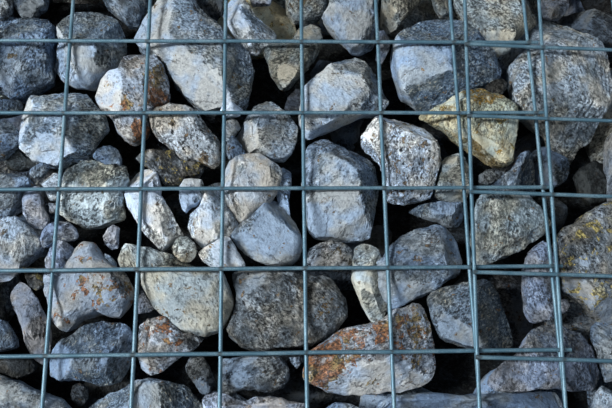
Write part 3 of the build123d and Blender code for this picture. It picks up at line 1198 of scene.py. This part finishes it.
      "493,382", 2, 0.4, (F("606,356 500,360", 33, -1), F("496,380 604,384", 51, 0.1),
      F("578,392 566,322", 38, -0.2)), tone=0.81),
    S(K.LAVENDER, "557,300 568,299 571,305 565,313 557,315", 16),
    S(K.BLUE, "592,326 597,321 606,324 632,334 636,376 608,382 604,370 600,358 597,346 593,338", 5,
      0.2),
    S(K.PALE, "592,410 597,392 603,385 611,391 634,398 636,438 596,440", 2, 0.3,
      (F("594,404 634,402", 51, 0.4),), tone=1.2),
)


@dataclass
class Quarry:
    """Breaks stones out of round blanks and heaps them into meshes.

    Attributes:
        rng: the dice for everything that a stone's place doesn't settle.
        heaps: the meshes being filled, by name.
        blanks: the round blanks and their faces, by how finely they are divided.
    """

    rng: random.Random
    heaps: dict[str, bmesh.types.BMesh] = field(default_factory=dict)
    blanks: dict[int, tuple[np.ndarray, np.ndarray]] = field(default_factory=dict)

    def blank(self, level: int) -> tuple[np.ndarray, np.ndarray]:
        """A round blank, divided more finely in front, where it is seen.

        Args:
            level: how finely it is divided.

        Returns:
            One row of three numbers for each point, all at a distance of 1, and one row of three
            points for each face.
        """
        if level not in self.blanks:
            ball = bmesh.new()
            bmesh.ops.create_icosphere(ball, subdivisions=level, radius=1.0)
            points = np.array([v.co[:] for v in ball.verts])
            faces = np.array([[v.index for v in side.verts] for side in ball.faces])
            ball.free()
            points[:, 2] += BLANK_DRAW
            points /= np.linalg.norm(points, axis=1, keepdims=True)
            self.blanks[level] = points, faces
        return self.blanks[level]

    def heap(self, name: str) -> bmesh.types.BMesh:
        """Find a heap, or start it when it is first asked for.

        Args:
            name: what the heap is called.

        Returns:
            The heap.
        """
        if name not in self.heaps:
            self.heaps[name] = bmesh.new()
            self.heaps[name].verts.layers.float_vector.new("lot")
            self.heaps[name].verts.layers.float_vector.new("look")
        return self.heaps[name]

    def shape(self, rock: Rock, reach: np.ndarray) -> tuple[np.ndarray, np.ndarray]:
        """Cut a blank to a stone's outline and break its faces off.

        Args:
            rock: the stone.
            reach: how far its outline reaches in each direction.

        Returns:
            The stone's points, with the third measure towards the viewer, and for each of them
            its tone, how fresh it is and how stained.
        """
        size = float(reach.mean())
        ball = self.blank(rock.level)[0]
        flat = np.maximum(np.hypot(ball[:, 0], ball[:, 1]), 1e-9)
        way = np.arctan2(ball[:, 1], ball[:, 0]) % tau
        steps = len(reach)
        spread = np.interp(way, np.arange(steps + 1) * tau / steps, np.append(reach, reach[0]))
        spread *= flat ** OUTLINE_FULL / flat
        deep = np.abs(ball[:, 2])
        rise = np.where(ball[:, 2] > 0, bulge_of(size) * deep ** FRONT_FULL,
                        -BACK_DEPTH * size * deep ** BACK_FULL)
        points = np.column_stack((ball[:, 0] * spread, ball[:, 1] * spread, rise))
        looks = np.tile((rock.tone, rock.fresh, 0.0), (len(points), 1))
        front = np.flatnonzero(ball[:, 2] > 0.05)
        whole = points.copy()
        for cut in rock.breaks:
            nearest = front[np.argmin(np.hypot(*(whole[front, :2] - cut.spot).T))]
            limit = RIDGE_DROP * whole[nearest, 2] - tan(radians(cut.tilt)) * (
                (points[:, :2] - cut.spot) @ cut.way)
            over = points[:, 2] - limit
            broken = over > 0
            points[broken, 2] -= BROKEN_OFF * over[broken]
            looks[broken & (over > SKIN_DEPTH), 1:] = cut.fresh, cut.stain
        for spot in rock.spots:
            near = 1.0 - np.hypot(*(points[:, :2] - spot.place).T) / spot.reach
            near = np.clip(PATCH_EDGE * near, 0.0, 1.0) * (points[:, 2] > -0.3 * size)
            looks[:, 1] += near * spot.fresh
            looks[:, 2] = np.maximum(looks[:, 2], near * spot.stain)
        return points, looks

    def normals(self, level: int, points: np.ndarray) -> np.ndarray:
        """The way out of a stone at each of its points.

        Args:
            level: how finely it is divided.
            points: its points.

        Returns:
            One row of three numbers for each point.
        """
        faces = self.blank(level)[1]
        a, b, c = (points[faces[:, k]] for k in range(3))
        flat = np.cross(b - a, c - a)
        out = np.zeros_like(points)
        for k in range(3):
            np.add.at(out, faces[:, k], flat)
        return out / np.maximum(np.linalg.norm(out, axis=1, keepdims=True), TINY)

    def roughen(self, rock: Rock, points: np.ndarray, fresh: np.ndarray, size: float
                ) -> np.ndarray:
        """Give a stone its uneven, chipped skin.

        Args:
            rock: the stone.
            points: its points about its own middle.
            fresh: how newly broken it is at each of them, which is smoother.
            size: its mean half width.

        Returns:
            The points with the skin's unevenness.
        """
        seed = Vector([self.rng.uniform(-50, 50) for _ in range(3)])
        lumps = min(LUMP_SHARE * size, LUMP_HEIGHT)
        chips = min(CHIP_SHARE * size, CHIP_HEIGHT)
        bed = None
        if rock.grain is not None:
            bed = Vector((-sin(radians(rock.grain)), cos(radians(rock.grain)), 0.35))
        shift = np.zeros(len(points))
        for index, row in enumerate(points):
            spot = Vector(row)
            swell = noise.fractal(spot * LUMPS + seed, 0.9, 2.1, 3)
            shift[index] = lumps * swell
            if rock.level > 3:
                near = noise.voronoi(spot * CHIPS + seed + Vector((swell, 0, 0)) * 0.5)[0][0]
                shift[index] += chips * (near * near - 0.25)
                grit = noise.turbulence(spot * GRITS + seed, 3, True)
                shift[index] += GRIT_HEIGHT * (grit - 0.6)
            if bed is not None:
                phase = spot.dot(bed) / LAYER_GAP + 1.3 * swell
                shift[index] += LAYER_HEIGHT * (abs(phase % 1.0 - 0.5) * 2 - 0.5)
        shift *= 1.0 - FRESH_CALM * np.clip(fresh, 0.0, 1.0)
        return points + self.normals(rock.level, points) * shift[:, None]

    def stone(self, heap: str, face: Face, rock: Rock) -> None:
        """Make a stone and lay it in a heap.

        Args:
            heap: the heap's name.
            face: the side of the wall that it lies against.
            rock: the stone.
        """
        centre = polygon_centre(rock.corners)
        reach = reach_round(rock.corners, centre, FORM_STEPS)
        size = float(reach.mean())
        points, looks = self.shape(rock, reach)
        points = self.roughen(rock, points, looks[:, 1], size)
        rim = rock.inset + RIM_DEPTH * bulge_of(size)
        points[:, 2] = np.minimum(points[:, 2], rim - MESH_ROOM)
        place = face.matrix() @ Matrix.Translation((*centre, -rim))
        lump = bmesh.new()
        lot_layer, look_layer = (lump.verts.layers.float_vector.new(name)
                                 for name in ("lot", "look"))
        bmesh.ops.create_icosphere(lump, subdivisions=rock.level, radius=1.0)
        lot = Vector([self.rng.random() for _ in range(3)])
        for vertex, row, look in zip(lump.verts, points, looks):
            vertex.co = place @ Vector(row)
            vertex[lot_layer] = lot
            vertex[look_layer] = look
        number = list(StoneKind).index(rock.kind)
        for side in lump.faces:
            side.smooth = True
            side.material_index = number
        lump.normal_update()
        for edge in lump.edges:
            edge.smooth = edge.calc_face_angle(0.0) < CRISP
        mesh = finish_mesh("lump", lump)
        self.heap(heap).from_mesh(mesh)
        bpy.data.meshes.remove(mesh)


@dataclass
class Scatter:
    """Places stones of mixed sizes on one side of the wall, side by side.

    Attributes:
        face: the side.
        span: the first measure's limits.
        rise: the second measure's limits.
        blocks: outlines that are taken already.
        spread: the least and most that a stone's size may be, as a share of the usual.
        margin: the share of its half width that a stone keeps from the limits and blocks.
        overlap: how near two stones may come, as a share of their half widths.
        room: how far a stone may reach, as a share of its half width.
        corners: how many corners its outline has before its neighbours cut it.
    """

    face: Face
    span: Pair
    rise: Pair
    blocks: list[Outline] = field(default_factory=list)
    spread: Pair = (0.88, 1.12)
    margin: float = 0.8
    overlap: float = 0.93
    room: float = 1.42
    corners: int = 14

    def sites(self, rng: random.Random, sizes: tuple[float, ...], tries: int) -> list[Triple]:
        """Throw stones at the side, big ones first, and keep those that fit.

        Args:
            rng: the dice.
            sizes: the half widths, from big to small.
            tries: throws for the smallest size. The bigger ones get fewer.

        Returns:
            The middle and half width of each stone.
        """
        kept: list[Triple] = []
        for number, size in enumerate(sizes):
            for _ in range(tries * (number + 1) // len(sizes)):
                half = size * rng.uniform(*self.spread)
                margin = self.margin * half
                x = rng.uniform(self.span[0] + margin, self.span[1] - margin)
                y = rng.uniform(self.rise[0] + margin, self.rise[1] - margin)
                if any((x - a) ** 2 + (y - b) ** 2 < (self.overlap * (half + c)) ** 2
                       for a, b, c in kept):
                    continue
                if any(self.blocked(block, x, y, margin) for block in self.blocks):
                    continue
                kept.append((x, y, half))
        return kept

    @staticmethod
    def blocked(block: Outline, x: float, y: float, half: float) -> bool:
        """Tell whether a stone would lie on an outline that is taken.

        Args:
            block: the outline.
            x: the first measure of the stone's middle.
            y: its second measure.
            half: how near the outline may come to the stone's middle.

        Returns:
            True where it would.
        """
        px, py = nearest_on(block, x, y)
        return (px - x) ** 2 + (py - y) ** 2 < half ** 2 or inside(block, x, y)

    def outline(self, sites: list[Triple], index: int, gap: float) -> Outline:
        """The room that one stone has between its neighbours.

        Args:
            sites: all the stones.
            index: which one.
            gap: the space to leave at each neighbour.

        Returns:
            The corners of its room.
        """
        x, y, half = sites[index]
        reach = self.room * half
        angles = [k * tau / self.corners for k in range(self.corners)]
        room = [(x + reach * cos(angle), y + reach * sin(angle)) for angle in angles]
        for other, (a, b, c) in enumerate(sites):
            away = ((a - x) ** 2 + (b - y) ** 2) ** 0.5
            if other == index or away > 3 * (half + c):
                continue
            normal = ((a - x) / away, (b - y) / away)
            limit = (away ** 2 + half ** 2 - c ** 2) / (2 * away) - gap
            room = clip(room, normal, x * normal[0] + y * normal[1] + limit)
        for block in self.blocks:
            px, py = nearest_on(block, x, y)
            away = ((px - x) ** 2 + (py - y) ** 2) ** 0.5
            if SHORT < away < 2.5 * half:
                normal = ((px - x) / away, (py - y) / away)
                room = clip(room, normal, x * normal[0] + y * normal[1] + away - gap)
        for normal, limit in (((-1, 0), -self.span[0]), ((1, 0), self.span[1]),
                              ((0, -1), -self.rise[0]), ((0, 1), self.rise[1])):
            room = clip(room, normal, limit)
        return room


@dataclass(frozen=True)
class Chipping:
    """How the dice break faces off a stone.

    Attributes:
        counts: how many they may break off.
        out: how far from the middle the ridges lie, as shares of the stone's mean half width.
        tilts: the least and most degrees that the faces fall away.
        fresh: how newly broken they may look.
    """

    counts: tuple[int, ...]
    out: Pair
    tilts: Pair
    fresh: tuple[float, ...]

    def throw(self, rng: random.Random, size: float) -> tuple[Break, ...]:
        """Break faces off a stone.

        Args:
            rng: the dice.
            size: the stone's mean half width.

        Returns:
            The broken faces.
        """
        faces = []
        for _ in range(rng.choice(self.counts)):
            way, off = rng.uniform(0, tau), rng.uniform(*self.out) * size
            faces.append(Break((off * cos(way), off * sin(way)), (cos(way), sin(way)),
                               rng.uniform(*self.tilts), rng.choice(self.fresh)))
        return tuple(faces)


@dataclass
class StoneFill:
    """All the stones of the wall.

    Attributes:
        shot: the camera, for the stones that the photograph shows.
        seed: the dice's start.
        chips: the small breaks on those stones, which it doesn't settle.
        common: the kinds of the other stones, the more usual ones more often.
        broken: the broken faces of the other stones.
        mixed: the half widths of the other stones, from big to small.
        inner: the half widths of those behind the front.
        low: the half widths of those behind the foot.
        gaps: the space that they leave at their neighbours.
        insets: how far they lie behind their side, as shares of their half width.
        tones: how bright they are beside others of their kind.
        ages: how newly broken they look apart from their broken faces.
        layered: the share of them that has layers.
        edge: how far they keep from the cage's edges.
        corner: how far those of the lid and of the ends keep from the cage's long edges.
        foot: how far they keep from the ground.
        hidden: how far behind the front they lie where the photograph shows the gaps.
    """

    shot: Shot
    seed: int = 11
    chips: Chipping = Chipping((2, 3, 4), (0.35, 0.8), (22, 58), (0.5, 0.0, -0.4))
    common: tuple[StoneKind, ...] = (K.BLUE, K.PALE, K.BEIGE, K.LAVENDER, K.PALE, K.BLUE, K.WHITE,
                                     K.DARK, K.PITTED, K.LAVENDER, K.BEIGE, K.DARK, K.RUST,
                                     K.OCHRE, K.LICHEN, K.BLUE)
    broken: Chipping = Chipping((4, 5, 6), (0.0, 0.65), (16, 52), (0.9, 0.5, 0.1, -0.4, -0.9))
    mixed: tuple[float, ...] = (0.07, 0.056, 0.045, 0.036, 0.028, 0.02)
    inner: tuple[float, ...] = (0.07, 0.05)
    low: tuple[float, ...] = (0.03, 0.024)
    gaps: Pair = (0.0005, 0.004)
    insets: Pair = (0.0, 0.12)
    tones: Pair = (0.82, 1.15)
    ages: Pair = (-0.5, 0.9)
    layered: float = 0.3
    edge: float = 0.004
    corner: float = 0.018
    foot: float = 0.012
    hidden: float = 0.04

    def __post_init__(self) -> None:
        """Take up the dice, and read the heights between the lifts from the nodes."""
        self.rng = random.Random(self.seed)
        self.quarry = Quarry(self.rng)
        self.levels = [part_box("stone_fill_left_lower")[1][2],
                       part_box("stone_fill_left_middle")[1][2]]

    def block(self, x: float, z: float) -> str:
        """Name the part of the wall that a point lies in.

        Args:
            x: the point's place along the wall.
            z: its height.

        Returns:
            The bay and the lift, as the nodes name them.
        """
        bay = Bay.LEFT if x < 0 else Bay.RIGHT
        lift = ("lower", "middle", "upper")[sum(z > level for level in self.levels)]
        return f"{bay.label}_{lift}"

    def build_seen(self) -> list[Outline]:
        """Lay the stones that the photograph shows.

        Returns:
            Their outlines on the front.
        """
        outlines = []
        for stone in FACE_STONES:
            rock = stone.rock(self.shot)
            chips = self.chips.throw(self.rng, half_width(rock.corners))
            rock = replace(rock, breaks=rock.breaks + chips)
            self.quarry.stone(f"front_{self.block(*polygon_centre(rock.corners))}", FRONT, rock)
            outlines.append(rock.corners)
        return outlines

    def in_shot(self, x: float, z: float) -> bool:
        """Tell whether the photograph shows a place on the front, with every stone read from it.

        Args:
            x: the place along the wall.
            z: its height.

        Returns:
            True where it does.
        """
        left, top = self.shot.onto(0, 0, FRONT.corner[1])
        right, bottom = self.shot.onto(FRAME_WIDTH, FRAME_HEIGHT, FRONT.corner[1])
        return left < x < right and bottom < z < top

    def build_side(self, scatter: Scatter, where: str, sizes: tuple[float, ...], tries: int,
                   level: int = 3, depth: float = 0.0, tone: float = 0.4) -> None:
        """Fill one side with stones.

        Args:
            scatter: the side and what is taken on it.
            where: the start of the heaps' names.
            sizes: the stones' half widths.
            tries: throws for the smallest size.
            level: how finely they are divided.
            depth: how far behind the side they lie.
            tone: how much they are darkened, as painted shade, where the photograph shows the
            gaps that they lie in.
        """
        rng = self.rng
        sites = scatter.sites(rng, sizes, tries)
        for index, (x, y, half) in enumerate(sites):
            room = scatter.outline(sites, index, rng.uniform(*self.gaps))
            if len(room) < 3:
                continue
            spot = scatter.face.matrix() @ Vector((x, y, 0))
            seen = scatter.face is FRONT and self.in_shot(spot.x, spot.z)
            breaks = self.broken.throw(rng, half)
            grain = rng.uniform(0, 180) if rng.random() < self.layered else None
            inset = depth + rng.uniform(*self.insets) * half + (self.hidden if seen else 0.0)
            # Where the camera frames the front, these stones are set further back and darkened as
            # painted shade of the gaps.
            rock = Rock(rng.choice(self.common), room, inset, level,
                        rng.uniform(*self.tones) * (tone if seen else 1.0),
                        rng.uniform(*self.ages), breaks, (), grain)
            self.quarry.stone(f"{where}_{self.block(spot.x, spot.z)}", scatter.face, rock)

    def build(self) -> None:
        """Lay every stone and make the pieces."""
        seen = self.build_seen()
        wide, high, deep = END_INSIDE - self.edge, LID_INSIDE - self.edge, FACE_INSIDE - self.corner
        along, across, up = (-wide, wide), (-deep, deep), (self.foot, high)
        # In the framed part of the front these stones are darkened to 0.4 of their brightness, as
        # painted shade of the gaps.
        self.build_side(Scatter(FRONT, along, up, seen), "front", self.mixed, 600,
                        4)
        # The deep layer behind the front stones, darkened as painted shade where it shows between
        # them.
        self.build_side(Scatter(FRONT, along, (0.02, high - 0.01)), "front", self.inner, 300,
                        depth=0.045, tone=0.26)
        self.build_side(Scatter(BACK, along, up), "back", self.mixed, 600)
        self.build_side(Scatter(TOP, along, across), "back", self.mixed, 400)
        for end in (LEFT_END, RIGHT_END):
            self.build_side(Scatter(end, across, (self.foot, high - self.foot)), "back",
                            self.mixed, 300)
        for face, span in ((FRONT, along), (BACK, along), (LEFT_END, across), (RIGHT_END, across)):
            self.build_side(Scatter(face, span, (self.foot, 0.08)), "back", self.low, 200,
                            depth=0.03)
        materials = [FINISHES[kind].material(kind) for kind in StoneKind]
        for name, heap in self.quarry.heaps.items():
            side, block = name.split("_", 1)
            mesh = finish_mesh(f"{side}_stones_{block}", heap, *materials)
            piece = add_object(mesh.name, mesh)
            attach(piece, "root")
            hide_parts(f"stone_fill_{block}")
            LOG.info("%s: %d triangles", piece.name, len(mesh.polygons))
        self.build_core(materials[list(StoneKind).index(K.DARK)])

    def build_core(self, material: bpy.types.Material) -> None:
        """Close the heart of the wall, a dark lump of painted shade that only shows between the
        stones.

        Args:
            material: the dark stone that it is made of, whose darkness is painted shade.
        """
        size = Vector((2 * END_INSIDE - HEART_NARROWER, 2 * FACE_INSIDE - HEART_NARROWER,
                       LID_INSIDE - HEART_LOWER))
        core = bmesh.new()
        bmesh.ops.create_cube(core, size=1.0)
        bmesh.ops.scale(core, vec=size, verts=core.verts)
        bmesh.ops.translate(core, vec=(0, 0, size.z / 2 + HEART_FOOT), verts=core.verts)
        bmesh.ops.subdivide_edges(core, edges=core.edges, cuts=HEART_CUTS, use_grid_fill=True)
        for vertex in core.verts:
            lump = noise.noise(vertex.co * HEART_LUMPS)
            vertex.co += vertex.co.normalized() * HEART_LUMP_HEIGHT * lump
        bmesh.ops.smooth_vert(core, verts=core.verts, factor=0.4, use_axis_x=True,
                              use_axis_y=True, use_axis_z=True)
        core.verts.layers.float_vector.new("lot")
        look = core.verts.layers.float_vector.new("look")
        # Painted shade: the heart's look darkens it almost to black.
        for vertex in core.verts:
            vertex[look] = HEART_SHADE_LOOK
        bmesh.ops.triangulate(core, faces=core.faces)
        piece = add_object("stone_heart", finish_mesh("stone_heart", core, material))
        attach(piece, "root")
        LOG.info("%s: %d triangles", piece.name, len(piece.data.polygons))


@dataclass
class MeshSheet:
    """A welded sheet of round wires that stands for one CAD sheet.

    Attributes:
        node: the CAD node.
        place: where its middle is, with Z out of the wall.
        cells: squares along the long wires and across them.
        tails: how far the wires go past the last crossing: start, end and side.
        seed: the dice's start for its small bends.
        wander: how far a wire strays from straight, in metres.
    """

    node: str
    place: Matrix
    cells: tuple[int, int]
    tails: Triple
    seed: int
    wander: float = 0.0006

    def wire(self, curve: bpy.types.Curve, rng: random.Random, start: Vector, end: Vector,
             lead: float) -> None:
        """Lay one slightly uneven wire.

        Args:
            curve: the sheet's curve.
            rng: the dice.
            start: where the wire starts, on the sheet.
            end: where it ends.
            lead: how far it goes before its first weld.
        """
        span = end - start
        along, across = span.normalized(), Vector((-span.y, span.x, 0)).normalized()
        phase = Vector((rng.uniform(-40, 40), rng.uniform(-40, 40), 0))
        stops = [lead + cell * CELL + offset for cell in range(-1, SHEET_CELLS + 2)
                 for offset in (-WELD, 0.0, WELD, CELL / 2)]
        room = WIRE / 5
        stops = [0.0, *(stop for stop in stops if room < stop < span.length - room), span.length]
        line = curve.splines.new("POLY")
        line.points.add(len(stops) - 1)
        for point, stop in zip(line.points, stops):
            drift = self.wander * noise.noise(phase + Vector((0, 0, 9 * stop)))
            point.co = (*(self.place @ (start + along * stop + across * drift)), 1.0)

    def lattice(self) -> bpy.types.Curve:
        """Lay the long wires and the cross wires.

        Returns:
            One curve with them all.
        """
        rng = random.Random(self.seed)
        long_cells, cross_cells = self.cells
        start, end, side = self.tails
        length, width = long_cells * CELL, cross_cells * CELL
        long_level, cross_level = 1.5 * WIRE - WELD_BITE, 0.5 * WIRE
        curve = bpy.data.curves.new(self.node, "CURVE")
        curve.dimensions = "3D"
        curve.bevel_depth = WIRE / 2
        curve.bevel_resolution = 2
        curve.use_fill_caps = True
        for row in range(cross_cells + 1):
            y = row * CELL - width / 2
            self.wire(curve, rng, Vector((-length / 2 - start, y, long_level)),
                      Vector((length / 2 + end, y, long_level)), start)
        for column in range(long_cells + 1):
            x = column * CELL - length / 2
            self.wire(curve, rng, Vector((x, -width / 2 - side, cross_level)),
                      Vector((x, width / 2 + side, cross_level)), side)
        return curve

    def mark_welds(self, mesh: bpy.types.Mesh) -> None:
        """Note how near each point of the wires is to a weld, for the finish to read.

        Args:
            mesh: the wires.
        """
        back = self.place.inverted()
        edges = Vector((self.cells[0] * CELL / 2, self.cells[1] * CELL / 2))
        marks = mesh.attributes.new("weld", "FLOAT", "POINT")
        for vertex, mark in zip(mesh.vertices, marks.data):
            spot = (back @ vertex.co).to_2d() + edges
            away = [abs(measure / CELL - round(measure / CELL)) * CELL for measure in spot]
            mark.value = max(0.0, 1.0 - max(away) / WELD)

    def build(self, material: bpy.types.Material) -> None:
        """Make the sheet.

        Args:
            material: the wire's finish.
        """
        source = add_object("source", self.lattice())
        bpy.context.view_layer.update()
        mesh = bpy.data.meshes.new_from_object(source.evaluated_get(
            bpy.context.evaluated_depsgraph_get()))
        bpy.data.objects.remove(source)
        mesh.name = f"round_wires_{self.node}"
        mesh.materials.clear()
        mesh.materials.append(material)
        self.mark_welds(mesh)
        for polygon in mesh.polygons:
            polygon.use_smooth = True
        piece = add_object(f"wires_{self.node}", mesh)
        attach(piece, "root")
        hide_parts(self.node)
        LOG.info("%s: %d faces", piece.name, len(mesh.polygons))


class Cage:
    """The ten sheets of the wall, and the finish of the ties between them."""

    def __init__(self) -> None:
        """Work out where each sheet lies."""
        half_turn = Matrix.Rotation(pi, 4, "Z")
        face = (SHEET_CELLS, RISE_CELLS), (START_TAIL, END_TAIL, SIDE_TAIL)
        sheets = []
        for bay, behind in ((Bay.LEFT, Bay.RIGHT), (Bay.RIGHT, Bay.LEFT)):
            front = self.front_place(bay)
            over = LAYER_STEP if bay is Bay.RIGHT else 0.0
            lid = Matrix.Translation((bay.value * BAY_STEP / 2, 0, LID_INSIDE + over))
            tails = (FLUSH_TAIL, END_TAIL) if bay is Bay.LEFT else (START_TAIL, FLUSH_TAIL)
            sheets += (("front", bay, front, *face, 31 + bay.value),
                       ("back", behind, half_turn @ front, *face, 41 + bay.value),
                       ("lid", bay, lid, (SHEET_CELLS, DEEP_CELLS), (*tails, FLUSH_TAIL),
                        51 + bay.value))
        base_x = -(SHEET_LENGTH + BAY_STEP - BASE_CELLS * CELL) / 2
        base = Matrix.Translation((base_x, 0, 2 * WIRE)) @ Matrix.Rotation(pi, 4, "X")
        end = (Matrix.Translation((-END_INSIDE, 0, FACE_LOW_ROW + SHEET_HEIGHT / 2))
               @ Matrix(((0, 0, -1), (-1, 0, 0), (0, 1, 0))).to_4x4())
        for bay, turn in ((Bay.LEFT, Matrix.Identity(4)), (Bay.RIGHT, half_turn)):
            sheets += (("base", bay, turn @ base, (BASE_CELLS, DEEP_CELLS),
                        (FLUSH_TAIL, BASE_TAIL, FLUSH_TAIL), 61 + bay.value),
                       ("end", bay, turn @ end, (DEEP_CELLS, RISE_CELLS),
                        (FLUSH_TAIL, FLUSH_TAIL, SIDE_TAIL), 71 + bay.value))
        self.sheets = [MeshSheet(f"{side}_sheet_{bay.label}", *rest)
                       for side, bay, *rest in sheets]

    @staticmethod
    def front_place(bay: Bay) -> Matrix:
        """Work out where a front sheet lies.

        Args:
            bay: the bay that it closes.

        Returns:
            Where its middle is and how it is turned, with Z out of the wall.
        """
        over = bay is Bay.RIGHT
        y = -FACE_INSIDE - (LAYER_STEP if over else 0.0)
        z = FACE_LOW_ROW + SHEET_HEIGHT / 2 - (ROW_DROP if over else 0.0)
        facing = Matrix(((1, 0, 0), (0, 0, -1), (0, 1, 0))).to_4x4()
        turn = Matrix.Rotation(-FACE_SKEW if over else FACE_SKEW, 4, "Z")
        return Matrix.Translation((bay.value * BAY_STEP / 2, y, z)) @ facing @ turn

    def build(self) -> None:
        """Make every sheet and dress the ties."""
        wire = WireFinish().material("galvanised_mesh_wire")
        for sheet in self.sheets:
            sheet.build(wire)
        tie = WireFinish(rusted=0.5).material("galvanised_tie_wire")
        for name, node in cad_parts.items():
            if name.startswith("cross_tie"):
                node.data.materials.clear()
                node.data.materials.append(tie)
                LOG.info("%s: dressed", name)


@dataclass(frozen=True)
class Lamp:
    """A soft box.

    Attributes:
        name: what it is called.
        spot: where it stands.
        aim: what it points at.
        size: how wide and how high it is.
        power: its strength in watts.
        colour: its colour.
    """

    name: str
    spot: Triple
    aim: Triple
    size: Pair
    power: float
    colour: Triple

    def build(self) -> None:
        """Hang the lamp."""
        data = bpy.data.lights.new(self.name, "AREA")
        data.shape = "RECTANGLE"
        data.size, data.size_y = self.size
        data.energy = self.power
        data.color = self.colour
        lamp = add_object(self.name, data)
        lamp.location = self.spot
        way = Vector(self.aim) - Vector(self.spot)
        lamp.rotation_euler = way.to_track_quat("-Z", "Y").to_euler()
        lamp.visible_camera = False


@dataclass(frozen=True)
class Studio:
    """The plain pale floor and the soft light.

    Attributes:
        floor: the floor's colour.
        dim: how much of that colour the camera sees near the wall.
        lift: how much of the backdrop shows in the floor near the wall. Far off, it is all.
        near: where the floor near the wall ends and where it is far off, in metres.
        reach: half the floor's width, in metres.
        backdrop: the colour behind the wall, as the camera sees it.
        sky: the strength of the light from all round, at the horizon and straight above.
        air: the colour of that light.
        lamps: the soft boxes.
    """

    floor: Triple = (0.80, 0.80, 0.79)
    dim: float = 0.55
    lift: float = 0.45
    near: Pair = (1.2, 5.5)
    reach: float = 60.0
    backdrop: Triple = (0.93, 0.93, 0.92)
    sky: Pair = (0.26, 0.07)
    air: Triple = (0.86, 0.92, 1.0)
    lamps: tuple[Lamp, ...] = (
        Lamp("key", (-5.0, -4.6, 0.35), (-0.2, -0.25, 0.6), (2.4, 0.6), 715.0,
             (0.965, 0.985, 0.985)),
        Lamp("fill", (2.4, -3.0, 1.6), (0.2, -0.25, 0.5), (2.4, 1.8), 14.0, (0.80, 0.90, 1.0)),
        Lamp("back", (0.9, 3.2, 3.4), (0.0, 0.2, 0.6), (4.0, 2.6), 170.0, (0.97, 0.98, 1.0)),
    )

    def build(self) -> None:
        """Make the floor, the lamps and the world."""
        ground = bmesh.new()
        bmesh.ops.create_grid(ground, x_segments=1, y_segments=1, size=self.reach)
        floor = add_object("floor", finish_mesh("floor", ground, self.floor_material()))
        for lamp in self.lamps:
            lamp.build()
        self.build_world()

    def floor_material(self) -> bpy.types.Material:
        """Build the floor's finish, which runs into the backdrop away from the wall.

        Returns:
            The material.
        """
        n = Nodes(bpy.data.materials.new("pale_floor"))
        here = n.add("TexCoord").outputs["Object"]
        away = n.band(n.add("VectorMath", here, operation="LENGTH").outputs["Value"], *self.near)
        seen = n.add("LightPath").outputs["Is Camera Ray"]
        dimmed = n.blend(tuple(self.dim * c for c in self.floor), (0.0, 0.0, 0.0), away)
        glow = n.times(seen, n.band(away, 0.0, 1.0, self.lift, 1.0))
        return n.principled(Base_Color=n.blend(self.floor, dimmed, seen), Roughness=0.9,
                            Specular_IOR_Level=0.0, Emission_Color=self.backdrop,
                            Emission_Strength=glow)

    def build_world(self) -> None:
        """Light the scene from all round, with a plain pale backdrop for the camera."""
        world = bpy.data.worlds.new("studio")
        n = Nodes(world)
        height = n.parts(n.add("TexCoord").outputs["Generated"])[2]
        fade = n.add("MapRange", Value=height, To_Min=self.sky[0], To_Max=self.sky[1])
        light = n.add("Background", self.air, fade.outputs["Result"]).outputs[0]
        plain = n.add("Background", self.backdrop).outputs[0]
        seen = n.add("LightPath").outputs["Is Camera Ray"]
        n.add("OutputWorld", n.add("MixShader", seen, light, plain).outputs[0])
        bpy.context.scene.world = world


def main() -> None:
    """Build the wall's pieces in order."""
    logging.basicConfig(level=logging.INFO, format="%(message)s")
    shot = Shot()
    shot.build()
    Cage().build()
    StoneFill(shot).build()
    Studio().build()
    bpy.context.scene.view_settings.view_transform = "Standard"


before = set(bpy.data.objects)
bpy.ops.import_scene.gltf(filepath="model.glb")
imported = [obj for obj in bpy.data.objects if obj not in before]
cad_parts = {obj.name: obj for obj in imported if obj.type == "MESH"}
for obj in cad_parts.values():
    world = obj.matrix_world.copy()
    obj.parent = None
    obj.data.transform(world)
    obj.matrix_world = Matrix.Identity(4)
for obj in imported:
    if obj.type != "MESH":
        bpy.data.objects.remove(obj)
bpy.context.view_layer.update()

if __name__ == "__main__":
    main()
